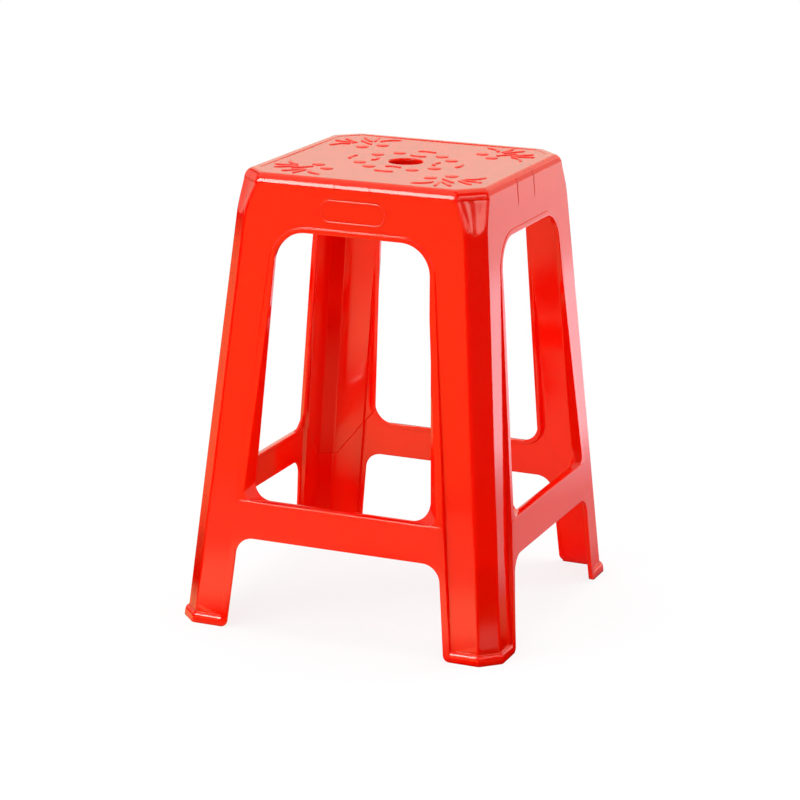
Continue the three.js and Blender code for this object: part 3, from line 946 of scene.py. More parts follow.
    def build(self):
        """Fills the cell's points and faces."""
        form = self.form
        arches, windows, arch_places, window_places = self.build_sheets()
        places = {True: form.outer_point, False: form.inner_point}
        corner_rules = {True: form.outer_corner, False: form.inner_corner}
        tops = {}
        feet = {}
        for outer in (True, False):
            corners, triangles, used = self.sheets[outer]
            self.add_sheet(corners, triangles, places[outer])
            kept = corners[used]
            rows = []
            heights = []
            for side, height in kept[np.argsort(kept[:, 1])]:
                if abs(side - column_start(corner_rules[outer](height))) < ON_COLUMN:
                    heights.append(height)
            for k, height in enumerate(heights):
                if k == 0 or height - heights[k - 1] > SAME_HEIGHT:
                    rows.append(corner_columns(*corner_rules[outer](height), height))
            self.add_grid(rows)
            feet[outer] = rows[0]
            on_top = kept[np.abs(kept[:, 1] - form.roll_start) < SAME_HEIGHT]
            sides = sorted(float(side) for side in on_top[:, 0])
            tops[outer] = sides
        self.add_open_edges(arches, windows, arch_places, window_places, feet)
        self.add_top(tops, corner_rules)

    def add_open_edges(self, arches, windows, arch_places, window_places, feet):
        """Closes the wall between its outside and inside along every open edge."""
        form = self.form
        outer_edge = sample(arches[True], arch_places)
        inner_edge = sample(arches[False], arch_places)
        profiles = []
        for k in range(len(arch_places)):
            outer_face = form.outer_point(*self.arches[True][k])
            inner_face = form.inner_point(*self.arches[False][k])
            outer_rim = form.outer_point(outer_edge[k][0], outer_edge[k][1])
            inner_rim = form.inner_point(inner_edge[k][0], inner_edge[k][1])
            line = [outer_face, outer_rim, inner_rim, inner_face]
            profiles.append(rounded_profile(line, OPEN_EDGE_ROUND))
        outer_floor = corner_columns(*form.outer_corner(0.0), 0.0)
        inner_floor = corner_columns(*form.inner_corner(0.0), 0.0)
        for k in range(1, len(outer_floor)):
            line = [feet[True][k], outer_floor[k], inner_floor[k], feet[False][k]]
            profiles.append(rounded_profile(line, OPEN_EDGE_ROUND))
        self.add_grid(profiles)
        bevel_edge = sample(windows[True], window_places)
        window_edge = sample(windows[False], window_places)
        profiles = []
        for k in range(len(window_places)):
            outer_face = form.outer_point(*self.windows[True][k])
            bevel = form.outer_point(bevel_edge[k][0], bevel_edge[k][1])
            setback = form.jamb_depth(window_edge[k][1])
            jamb = form.outer_point(window_edge[k][0], window_edge[k][1], setback)
            inner_rim = form.inner_point(window_edge[k][0], window_edge[k][1])
            inner_face = form.inner_point(*self.windows[False][k])
            line = [outer_face, bevel, jamb, inner_rim, inner_face]
            profiles.append(rounded_profile(line, OPEN_EDGE_ROUND))
        self.add_grid(profiles)

    def octagon_row(self, sides, half, cut, rounding, height):
        """A row of points along half a side and half a facet, at the shares of another row."""
        start = half - cut - rounding
        scale = start / sides[-1]
        row = [Vector((side * scale, -half, height)) for side in sides[:-1]]
        return row + corner_columns(half, cut, rounding, FLAT, height)

    def add_top(self, tops, corner_rules):
        """The roll over, the rim, the panel and the finger hole, above and below."""
        form = self.form
        shell = form.shell
        hole_rows = {}
        for outer in (True, False):
            sides = tops[outer]
            half, cut, rounding, _ = corner_rules[outer](form.roll_start)
            radius = shell.rim_round if outer else shell.rim_round - shell.wall
            ceiling = shell.seat_height if outer else shell.seat_height - shell.wall
            middle = half - radius * math.cos(form.roll_turn)
            panel_half = form.panel_half if outer else form.panel_half - shell.wall
            panel_cut = shell.panel_facet if outer else shell.panel_facet - PANEL_FACET_INSET
            rows = []
            for turn in np.linspace(form.roll_turn, math.pi / 2, 15):
                row_half = middle + radius * math.cos(turn)
                share = (half - row_half) / (half - panel_half)
                row_cut = cut + (panel_cut - cut) * share
                row_height = form.roll_start
                row_height += (ceiling - form.roll_start) * self.roll_share(turn)
                rows.append(self.octagon_row(sides, row_half, row_cut, rounding, row_height))
            step_half = panel_half + PANEL_STEP_PLACE
            for share in PANEL_STEP_SHARES:
                row_half = step_half - share * PANEL_STEP_HALF
                fall = smooth_step(share)
                row = self.octagon_row(sides, row_half, panel_cut, PANEL_CORNER_ROUND, ceiling)
                for point in row:
                    edge = form.panel_height(point.xy.length) - shell.seat_height + ceiling
                    point.z += (edge - ceiling) * fall
                rows.append(row)
            self.add_grid(rows)
            panel_rows = [rows[-1]]
            hole = shell.hole_radius + (shell.hole_round if outer else HOLE_UNDER_ROUND)
            for share in np.linspace(0.0, 1.0, 15)[1:]:
                row = []
                for point in rows[-1]:
                    rim = point.xy.normalized() * hole
                    place = point.xy.lerp(rim, share ** PANEL_RING_POWER)
                    height = form.panel_height(place.length) - shell.seat_height + ceiling
                    row.append(Vector((place.x, place.y, height)))
                panel_rows.append(row)
            self.add_grid(panel_rows)
            hole_rows[outer] = panel_rows[-1]
        profiles = []
        for top, bottom in zip(hole_rows[True], hole_rows[False]):
            rim = top.xy.normalized() * shell.hole_radius
            upper = Vector((rim.x, rim.y, top.z))
            under = bottom.xy.normalized() * shell.hole_radius
            lower = Vector((under.x, under.y, bottom.z))
            line = [top, upper, lower, bottom]
            profiles.append(rounded_profile(line, HOLE_EDGE_ROUND, steps=5))
        self.add_grid(profiles)

    def roll_share(self, turn):
        """Height gained by the roll over at an angle, as a share."""
        low = math.sin(self.form.roll_turn)
        return (math.sin(turn) - low) / (1.0 - low)

    def to_object(self, name):
        """Makes the cell's mesh."""
        mesh = bpy.data.meshes.new(name)
        mesh.from_pydata([tuple(p) for p in self.points], [], self.faces)
        edit = bmesh.new()
        edit.from_mesh(mesh)
        bmesh.ops.remove_doubles(edit, verts=edit.verts, dist=CELL_MERGE)
        bmesh.ops.dissolve_degenerate(edit, edges=edit.edges, dist=TINY_EDGE)
        loose = [vert for vert in edit.verts if not vert.link_faces]
        bmesh.ops.delete(edit, geom=loose, context="VERTS")
        edit.to_mesh(mesh)
        edit.free()
        return placed(name, mesh)


# Objects and nodes


def placed(name, data):
    """A new object in the scene with the given data."""
    made = bpy.data.objects.new(name, data)
    bpy.context.scene.collection.objects.link(made)
    return made


def math_node(nodes, operation, kind="ShaderNodeMath"):
    """A new math node set to one operation."""
    node = nodes.new(kind)
    node.operation = operation
    return node


def colour_mix(nodes):
    """A new node that mixes two colours."""
    node = nodes.new("ShaderNodeMix")
    node.data_type = "RGBA"
    return node


# Geometry Nodes


def node_tree(name, inputs):
    """A new Geometry Nodes tree with geometry in and out and the named inputs."""
    tree = bpy.data.node_groups.new(name, "GeometryNodeTree")
    tree.interface.new_socket("Geometry", in_out="INPUT", socket_type="NodeSocketGeometry")
    for label, kind in inputs:
        tree.interface.new_socket(label, in_out="INPUT", socket_type=kind)
    tree.interface.new_socket("Geometry", in_out="OUTPUT", socket_type="NodeSocketGeometry")
    return tree


def turned_tree(mirrored):
    """Turns a cell round the middle, after mirroring it where asked."""
    tree = node_tree(
        "Turned round the middle",
        (
            ("Sides", "NodeSocketInt"),
            ("Merge Distance", "NodeSocketFloat"),
            ("Material", "NodeSocketMaterial"),
        ),
    )
    nodes = tree.nodes
    links = tree.links
    given = nodes.new("NodeGroupInput")
    result = nodes.new("NodeGroupOutput")
    cell = given.outputs["Geometry"]
    if mirrored:
        flip = nodes.new("GeometryNodeTransform")
        flip.inputs["Scale"].default_value = (-1.0, 1.0, 1.0)
        turned_faces = nodes.new("GeometryNodeFlipFaces")
        both = nodes.new("GeometryNodeJoinGeometry")
        links.new(cell, flip.inputs["Geometry"])
        links.new(flip.outputs["Geometry"], turned_faces.inputs["Mesh"])
        links.new(turned_faces.outputs["Mesh"], both.inputs["Geometry"])
        links.new(cell, both.inputs["Geometry"])
        cell = both.outputs["Geometry"]
    points = nodes.new("GeometryNodePoints")
    index = nodes.new("GeometryNodeInputIndex")
    divide = math_node(nodes, "DIVIDE")
    turn = math_node(nodes, "MULTIPLY")
    turn.inputs[1].default_value = math.tau
    rotation = nodes.new("ShaderNodeCombineXYZ")
    place = nodes.new("GeometryNodeInstanceOnPoints")
    realize = nodes.new("GeometryNodeRealizeInstances")
    merge = nodes.new("GeometryNodeMergeByDistance")
    smooth = nodes.new("GeometryNodeSetShadeSmooth")
    finish = nodes.new("GeometryNodeSetMaterial")
    links.new(given.outputs["Sides"], points.inputs["Count"])
    links.new(index.outputs["Index"], divide.inputs[0])
    links.new(given.outputs["Sides"], divide.inputs[1])
    links.new(divide.outputs["Value"], turn.inputs[0])
    links.new(turn.outputs["Value"], rotation.inputs["Z"])
    links.new(points.outputs["Points"], place.inputs["Points"])
    links.new(cell, place.inputs["Instance"])
    links.new(rotation.outputs["Vector"], place.inputs["Rotation"])
    links.new(place.outputs["Instances"], realize.inputs["Geometry"])
    links.new(realize.outputs["Geometry"], merge.inputs["Geometry"])
    links.new(given.outputs["Merge Distance"], merge.inputs["Distance"])
    links.new(merge.outputs["Geometry"], smooth.inputs["Geometry"])
    links.new(smooth.outputs["Geometry"], finish.inputs["Geometry"])
    links.new(given.outputs["Material"], finish.inputs["Material"])
    links.new(finish.outputs["Geometry"], result.inputs["Geometry"])
    return tree


def set_inputs(modifier, values):
    """Sets a modifier's named inputs by their sockets' identifiers."""
    for item in modifier.node_group.interface.items_tree:
        if item.in_out == "INPUT" and item.name in values:
            modifier[item.identifier] = values[item.name]


def settled(piece):
    """Turns the piece's modifiers into plain mesh."""
    graph = bpy.context.evaluated_depsgraph_get()
    graph.update()
    mesh = bpy.data.meshes.new_from_object(piece.evaluated_get(graph))
    mesh.name = piece.name
    old = piece.data
    piece.modifiers.clear()
    piece.data = mesh
    bpy.data.meshes.remove(old)
    return piece


def turned_round(piece, mirrored, material, merge_distance=SIDE_MERGE):
    """Turns the piece to all sides and settles it."""
    modifier = piece.modifiers.new("Sides", "NODES")
    modifier.node_group = turned_tree(mirrored)
    set_inputs(
        modifier,
        {
            "Sides": bpy.context.scene.stool_finishes.sides,
            "Merge Distance": merge_distance,
            "Material": material,
        },
    )
    return settled(piece)


def close_and_turn_out(piece):
    """Points all faces outwards and makes sure that the mesh is closed."""
    edit = bmesh.new()
    edit.from_mesh(piece.data)
    bmesh.ops.remove_doubles(edit, verts=edit.verts, dist=SIDE_MERGE)
    bmesh.ops.recalc_face_normals(edit, faces=edit.faces)
    open_edges = [edge for edge in edit.edges if len(edge.link_faces) != 2]
    edit.to_mesh(piece.data)
    spots = [tuple(round(c / MM, 2) for c in e.verts[0].co) for e in open_edges[:12]]
    edit.free()
    if open_edges:
        raise ValueError(f"{piece.name} has {len(open_edges)} open edges, such as at {spots}")


def even_shading(piece):
    """Lets the big flat faces set the shading beside roundings."""
    for polygon in piece.data.polygons:
        polygon.use_smooth = True
    modifier = piece.modifiers.new("Even shading", "WEIGHTED_NORMAL")
    modifier.mode = "FACE_AREA"
    modifier.weight = 50
    modifier.keep_sharp = False
    settled(piece)


def attach(piece, *nodes):
    """Lets the piece ride with the stool and stand for its CAD nodes."""
    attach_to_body(piece, BODY)
    if nodes:
        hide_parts(*nodes)


# Relief forms


def flat_top(share):
    """Height across a raised form: flat on top, with rounded edges."""
    return math.sqrt(max(1.0 - abs(share) ** 4, 0.0))


def raised_form(points, width, height, ground, start_taper=0.5, end_taper=0.5, steps=24):
    """A low closed form along a line, with a flat top: rounded or pointed at its ends."""
    line = np.array(points, float)
    runs = np.linalg.norm(np.diff(line, axis=0), axis=1)
    reach = np.concatenate([[0.0], np.cumsum(runs)])
    total = reach[-1]
    places = (1 - np.cos(np.linspace(0.0, math.pi, steps))) / 2 * total
    across = (-1.0, -0.97, -0.88, -0.7, -0.4, 0.0, 0.4, 0.7, 0.88, 0.97, 1.0)
    start_reach = max(start_taper * width, NEAR_ZERO)
    end_reach = max(end_taper * width, NEAR_ZERO)
    rows = []
    for place in places:
        x = np.interp(place, reach, line[:, 0])
        y = np.interp(place, reach, line[:, 1])
        ahead = min(place + FORM_AHEAD, total)
        behind = max(place - FORM_AHEAD, 0.0)
        run = Vector(
            (
                np.interp(ahead, reach, line[:, 0]) - np.interp(behind, reach, line[:, 0]),
                np.interp(ahead, reach, line[:, 1]) - np.interp(behind, reach, line[:, 1]),
            )
        ).normalized()
        normal = Vector((-run.y, run.x))
        from_start = max(1 - place / start_reach, 0.0)
        from_end = max(1 - (total - place) / end_reach, 0.0)
        from_tip = max(from_start, from_end)
        half = width / 2 * math.sqrt(max(1 - from_tip ** 2, 0.0))
        row = []
        for share in across:
            flat = Vector((x, y)) + normal * (half * share)
            rise = height * flat_top(share) * flat_top(from_tip)
            row.append(Vector((flat.x, flat.y, ground(flat) + rise)))
        rows.append(row)
    verts = []
    faces = []
    count = len(across)
    for row in rows:
        verts += [tuple(p) for p in row]
        for end in (row[0], row[-1]):
            verts.append((end.x, end.y, end.z - FORM_DEPTH))
    stride = count + 2
    for k in range(len(rows) - 1):
        a = k * stride
        b = a + stride
        ring = list(range(count)) + [count + 1, count]
        for i in range(len(ring)):
            j = (i + 1) % len(ring)
            faces.append((a + ring[i], a + ring[j], b + ring[j], b + ring[i]))
    return verts, faces


def gather(name, forms):
    """Joins forms into one mesh object with closed ends and faces outwards."""
    mesh = bpy.data.meshes.new(name)
    edit = bmesh.new()
    for verts, faces in forms:
        part = bpy.data.meshes.new("part")
        part.from_pydata(verts, [], faces)
        lump = bmesh.new()
        lump.from_mesh(part)
        bmesh.ops.remove_doubles(lump, verts=lump.verts, dist=FORM_MERGE)
        bmesh.ops.dissolve_degenerate(lump, edges=lump.edges, dist=TINY_EDGE)
        bmesh.ops.holes_fill(lump, edges=lump.edges, sides=0)
        bmesh.ops.recalc_face_normals(lump, faces=lump.faces)
        lump.to_mesh(part)
        lump.free()
        edit.from_mesh(part)
        bpy.data.meshes.remove(part)
    edit.to_mesh(mesh)
    edit.free()
    for polygon in mesh.polygons:
        polygon.use_smooth = True
    return placed(name, mesh)


def curved_line(start, bend, end, steps=16):
    """A line in metres that bends once, from places in millimetres."""
    points = []
    for share in np.linspace(0.0, 1.0, steps):
        x, y = (bend_point(a, b, c, share) * MM for a, b, c in zip(start, bend, end))
        points.append((x, y))
    return points


def ring_line(radius, middle, reach, bow, steps=18):
    """A dash on a ring. A bow of 1 follows the ring, and one below zero bends the other way."""
    points = []
    for share in np.linspace(-0.5, 0.5, steps):
        run = share * reach
        sag = radius - math.sqrt(radius ** 2 - run ** 2)
        out = radius - bow * sag
        x = out * math.cos(middle) - run * math.sin(middle)
        y = out * math.sin(middle) + run * math.cos(middle)
        points.append((x, y))
    return points


# Materials


def shader_group(name, inputs, outputs):
    """A new shader node group with named sockets."""
    group = bpy.data.node_groups.new(name, "ShaderNodeTree")
    for label, kind, value in inputs:
        socket = group.interface.new_socket(label, in_out="INPUT", socket_type=kind)
        socket.default_value = value
    for label, kind in outputs:
        group.interface.new_socket(label, in_out="OUTPUT", socket_type=kind)
    return group


def moulded_surface_group():
    """Slow colour drift, flow marks, fine grain and scuffs of a moulded surface."""
    group = shader_group(
        "Moulded surface",
        (
            ("Colour", "NodeSocketColor", (0.8, 0.1, 0.1, 1.0)),
            ("Darker Colour", "NodeSocketColor", (0.6, 0.05, 0.05, 1.0)),
            ("Roughness", "NodeSocketFloat", 0.2),
            ("Scuffing", "NodeSocketFloat", 0.05),
        ),
        (
            ("Colour", "NodeSocketColor"),
            ("Roughness", "NodeSocketFloat"),
            ("Height", "NodeSocketFloat"),
        ),
    )
    nodes = group.nodes
    links = group.links
    given = nodes.new("NodeGroupInput")
    result = nodes.new("NodeGroupOutput")
    place = nodes.new("ShaderNodeTexCoord")
    drift = nodes.new("ShaderNodeTexNoise")
    drift.inputs["Scale"].default_value = 9.0
    drift.inputs["Detail"].default_value = 2.0
    stretch = nodes.new("ShaderNodeMapping")
    stretch.inputs["Scale"].default_value = (60.0, 60.0, 7.0)
    flow = nodes.new("ShaderNodeTexNoise")
    flow.inputs["Scale"].default_value = 1.0
    flow.inputs["Detail"].default_value = 3.0
    peel = nodes.new("ShaderNodeTexNoise")
    peel.inputs["Scale"].default_value = 130.0
    peel.inputs["Detail"].default_value = 1.0
    share = math_node(nodes, "MULTIPLY")
    mix = colour_mix(nodes)
    spread = math_node(nodes, "SUBTRACT")
    spread.inputs[1].default_value = 0.5
    scuff = math_node(nodes, "MULTIPLY_ADD")
    links.new(place.outputs["Object"], drift.inputs["Vector"])
    links.new(place.outputs["Object"], stretch.inputs["Vector"])
    links.new(stretch.outputs["Vector"], flow.inputs["Vector"])
    links.new(place.outputs["Object"], peel.inputs["Vector"])
    links.new(drift.outputs["Fac"], share.inputs[0])
    links.new(flow.outputs["Fac"], share.inputs[1])
    links.new(share.outputs["Value"], mix.inputs["Factor"])
    links.new(given.outputs["Colour"], mix.inputs["A"])
    links.new(given.outputs["Darker Colour"], mix.inputs["B"])
    links.new(flow.outputs["Fac"], spread.inputs[0])
    links.new(spread.outputs["Value"], scuff.inputs[0])
    links.new(given.outputs["Scuffing"], scuff.inputs[1])
    links.new(given.outputs["Roughness"], scuff.inputs[2])
    links.new(mix.outputs["Result"], result.inputs["Colour"])
    links.new(scuff.outputs["Value"], result.inputs["Roughness"])
    links.new(peel.outputs["Fac"], result.inputs["Height"])
    return group


def plastic(name, roughness, grain, coat, glow):
    """Glossy coloured plastic. The glow is the share of light that spreads inside the wall."""
    finishes = bpy.context.scene.stool_finishes
    material = bpy.data.materials.new(name)
    material.use_nodes = True
    nodes = material.node_tree.nodes
    links = material.node_tree.links
    body = nodes["Principled BSDF"]
    body.inputs["IOR"].default_value = 1.5
    body.inputs["Coat Weight"].default_value = coat
    body.inputs["Subsurface Weight"].default_value = glow
    body.inputs["Subsurface Radius"].default_value = (1.0, 0.05, 0.02)
    body.inputs["Subsurface Scale"].default_value = 12.0 * MM
    body.inputs["Coat Roughness"].default_value = 0.08
    group = bpy.data.node_groups.get("Moulded surface") or moulded_surface_group()
    surface = nodes.new("ShaderNodeGroup")
    surface.node_tree = group
    surface.inputs["Colour"].default_value = (*finishes.red, 1.0)
    surface.inputs["Darker Colour"].default_value = (*finishes.deep_red, 1.0)
    surface.inputs["Roughness"].default_value = roughness
    bump = nodes.new("ShaderNodeBump")
    bump.inputs["Strength"].default_value = grain
    bump.inputs["Distance"].default_value = 0.05 * MM
    links.new(surface.outputs["Colour"], body.inputs["Base Color"])
    links.new(surface.outputs["Roughness"], body.inputs["Roughness"])
    links.new(surface.outputs["Height"], bump.inputs["Height"])
    links.new(bump.outputs["Normal"], body.inputs["Normal"])
    return material


def smooth_plastic():
    """The finish of the shell."""
    found = bpy.data.materials.get("Smooth red plastic")
    finishes = bpy.context.scene.stool_finishes
    return found or plastic("Smooth red plastic", finishes.gloss, grain=0.25, coat=0.7, glow=1.0)


def relief_plastic():
    """The finish of the raised forms on the seat."""
    found = bpy.data.materials.get("Grained red plastic")
    finishes = bpy.context.scene.stool_finishes
    gloss = finishes.relief_gloss
    return found or plastic("Grained red plastic", gloss, grain=0.6, coat=0.4, glow=0.0)


def line_plastic():
    """The finish of the thin raised lines on the walls."""
    found = bpy.data.materials.get("Line red plastic")
    finishes = bpy.context.scene.stool_finishes
    return found or plastic("Line red plastic", finishes.gloss, grain=0.25, coat=0.7, glow=0.0)


# Operators


def stool_form():
    """The form with the scene's sizes."""
    scene = bpy.context.scene
    return StoolForm(scene.stool_shell, scene.stool_border)


class STOOL_OT_shell(bpy.types.Operator):
    """Builds the moulded shell: walls, legs, stretchers, rim and panel."""

    bl_idname = "stool.shell"
    bl_label = "Shell"

    def execute(self, context):
        cell = ShellCell(stool_form())
        cell.build()
        piece = cell.to_object("shell")
        turned_round(piece, True, smooth_plastic())
        close_and_turn_out(piece)
        even_shading(piece)
        attach(piece, *SHELL_NODES)
        return {"FINISHED"}


class STOOL_OT_ribs(bpy.types.Operator):
    """Gives the ribs under the seat the finish of the shell."""

    bl_idname = "stool.ribs"
    bl_label = "Ribs under the seat"

    def execute(self, context):
        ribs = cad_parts["seat_ribs"]
        ribs.data.materials.clear()
        ribs.data.materials.append(smooth_plastic())
        return {"FINISHED"}


class STOOL_OT_ornament(bpy.types.Operator):
    """Raises the dots, dashes and leaf fans on the seat."""

    bl_idname = "stool.ornament"
    bl_label = "Seat ornament"

    def execute(self, context):
        relief = context.scene.stool_relief
        form = stool_form()

        def ground(place):
            return form.panel_height(place.length)

        forms = []
        for turn in DOT_TURNS:
            forms.append(self.dot(ground, relief, turn, relief.dot_ring))
        for radius, reach, bow in (
            (relief.outer_dash_ring, relief.outer_dash_length, OUTER_DASH_BOW),
            (relief.inner_dash_ring, relief.inner_dash_length, INNER_DASH_BOW),
        ):
            line = ring_line(radius, 0.0, reach, bow)
            forms.append(raised_form(line, relief.dash_width, relief.height, ground))
        for mirrored in (False, True):
            forms += self.fan(ground, relief, mirrored)
        piece = gather("ornament", forms)
        turned_round(piece, False, relief_plastic(), merge_distance=0.0)
        attach(piece)
        return {"FINISHED"}

    def dot(self, ground, relief, turn, ring):
        """A round dot on a ring, at an angle in degrees."""
        angle = math.radians(turn)
        radius = relief.dot_radius
        centre = Vector((math.cos(angle), math.sin(angle))) * ring
        run = Vector((-math.sin(angle), math.cos(angle))) * radius
        line = [tuple(centre - run), tuple(centre), tuple(centre + run)]
        return raised_form(line, 2 * radius, relief.height, ground)

    def fan(self, ground, relief, mirrored):
        """One half of the leaf fan in the front right corner, or its mirrored other half."""
        leaves = LEAVES if mirrored else (*LEAVES, MIDDLE_LEAF)
        forms = []
        for start, bend, end, width, start_taper, end_taper in leaves:
            line = curved_line(start, bend, end)
            if mirrored:
                line = [(-y, -x) for x, y in line]
            form = raised_form(line, width * MM, relief.height, ground, start_taper, end_taper)
            forms.append(form)
        turn = -45 + (FAN_DOT_TURN if mirrored else -FAN_DOT_TURN)
        forms.append(self.dot(ground, relief, turn, FAN_DOT_RING))
        return forms


class STOOL_OT_creases(bpy.types.Operator):
    """Adds the pair of fine creases at the middle of each apron."""

    bl_idname = "stool.creases"
    bl_label = "Apron creases"

    def execute(self, context):
        relief = context.scene.stool_relief
        form = stool_form()
        forms = []
        for side in range(4):
            offset = relief.crease_offset
            reach = relief.crease_length
            proud = relief.crease_proud
            if side == 0:
                offset = relief.front_crease_offset
                reach = relief.front_crease_length
                proud = relief.front_crease_proud
            turn = Matrix.Rotation(side * math.pi / 2, 3, "Z")
            for shift in (-offset, offset):
                sizes = (relief.crease_width, reach, proud)
                forms.append(self.crease(form, shift + CREASE_SHIFT, sizes, turn))
        piece = gather("apron_creases", forms)
        piece.data.materials.append(line_plastic())
        attach(piece)
        return {"FINISHED"}

    def wall_place(self, form, height):
        """Distance from the middle, and the direction of the face, on the wall or the roll."""
        shell = form.shell
        if height <= form.roll_start:
            return form.wall_face(height), Vector((0.0, -1.0, form.lean)).normalized()
        rise = min((height - form.rim_foot) / shell.rim_drop, 1.0)
        turn = math.asin(rise)
        half = form.wall_face(form.roll_start)
        half += shell.rim_round * (math.cos(turn) - math.cos(form.roll_turn))
        across = math.cos(turn) / shell.rim_round
        return half, Vector((0.0, -across, math.sin(turn) / shell.rim_drop)).normalized()

    def crease(self, form, side, sizes, turn):
        """One fine ridge, running down from the roll over."""
        width, reach, proud = sizes
        verts = []
        faces = []
        steps = 24
        profile = ((-1.0, -0.4), (-0.55, 0.6), (0.0, 1.0), (0.55, 0.6), (1.0, -0.4))
        count = len(profile) + 1
        for k in range(steps + 1):
            share = k / steps
            height = form.roll_start + CREASE_START - share * reach
            half, normal = self.wall_place(form, height)
            swell = share * (1.0 - CREASE_HEAD_SHARE) + CREASE_HEAD_SHARE
            fat = math.sin(math.pi * min(swell, 1.0)) ** 0.5
            place = Vector((side, -half, height))
            for across, rise in profile:
                shift = Vector((across * width / 2 * fat, 0.0, 0.0))
                verts.append(tuple(turn @ (place + shift + normal * (rise * proud * fat))))
            verts.append(tuple(turn @ (place - normal * FORM_DEPTH)))
        for k in range(steps):
            a = k * count
            b = a + count
            for i in range(count):
                j = (i + 1) % count
                faces.append((a + i, a + j, b + j, b + i))
        return verts, faces


class STOOL_OT_badge(bpy.types.Operator):
    """Raises the bare oval line on the front apron."""

    bl_idname = "stool.badge"
    bl_label = "Badge line"

    def execute(self, context):
        relief = context.scene.stool_relief
        form = stool_form()
        middle = relief.badge_middle
        radius = relief.badge_height / 2
        straight = relief.badge_width / 2 - radius
        path = []
        steps = 120
        for k in range(steps):
            turn = math.tau * k / steps
            shift = straight if math.cos(turn) >= 0 else -straight
            path.append((shift + radius * math.cos(turn), radius * math.sin(turn), turn))
        profile = ((-1.0, -0.6), (-0.75, 0.35), (-0.3, 0.9), (0.3, 0.9), (0.75, 0.35), (1.0, -0.6))
        verts = []
        faces = []
        for x, z, turn in path:
            for across, rise in profile:
                reach = across * relief.badge_line / 2
                side = x - BADGE_SHIFT + reach * math.cos(turn)
                height = middle + z + reach * math.sin(turn)
                verts.append(tuple(form.outer_point(side, height, rise * relief.badge_proud)))
        count = len(profile)
        for k in range(steps):
            a = k * count
            b = ((k + 1) % steps) * count
            for i in range(count):
                j = (i + 1) % count
                faces.append((a + i, a + j, b + j, b + i))
        piece = gather("badge_line", [(verts, faces)])
        piece.data.materials.append(line_plastic())
        attach(piece)
        return {"FINISHED"}


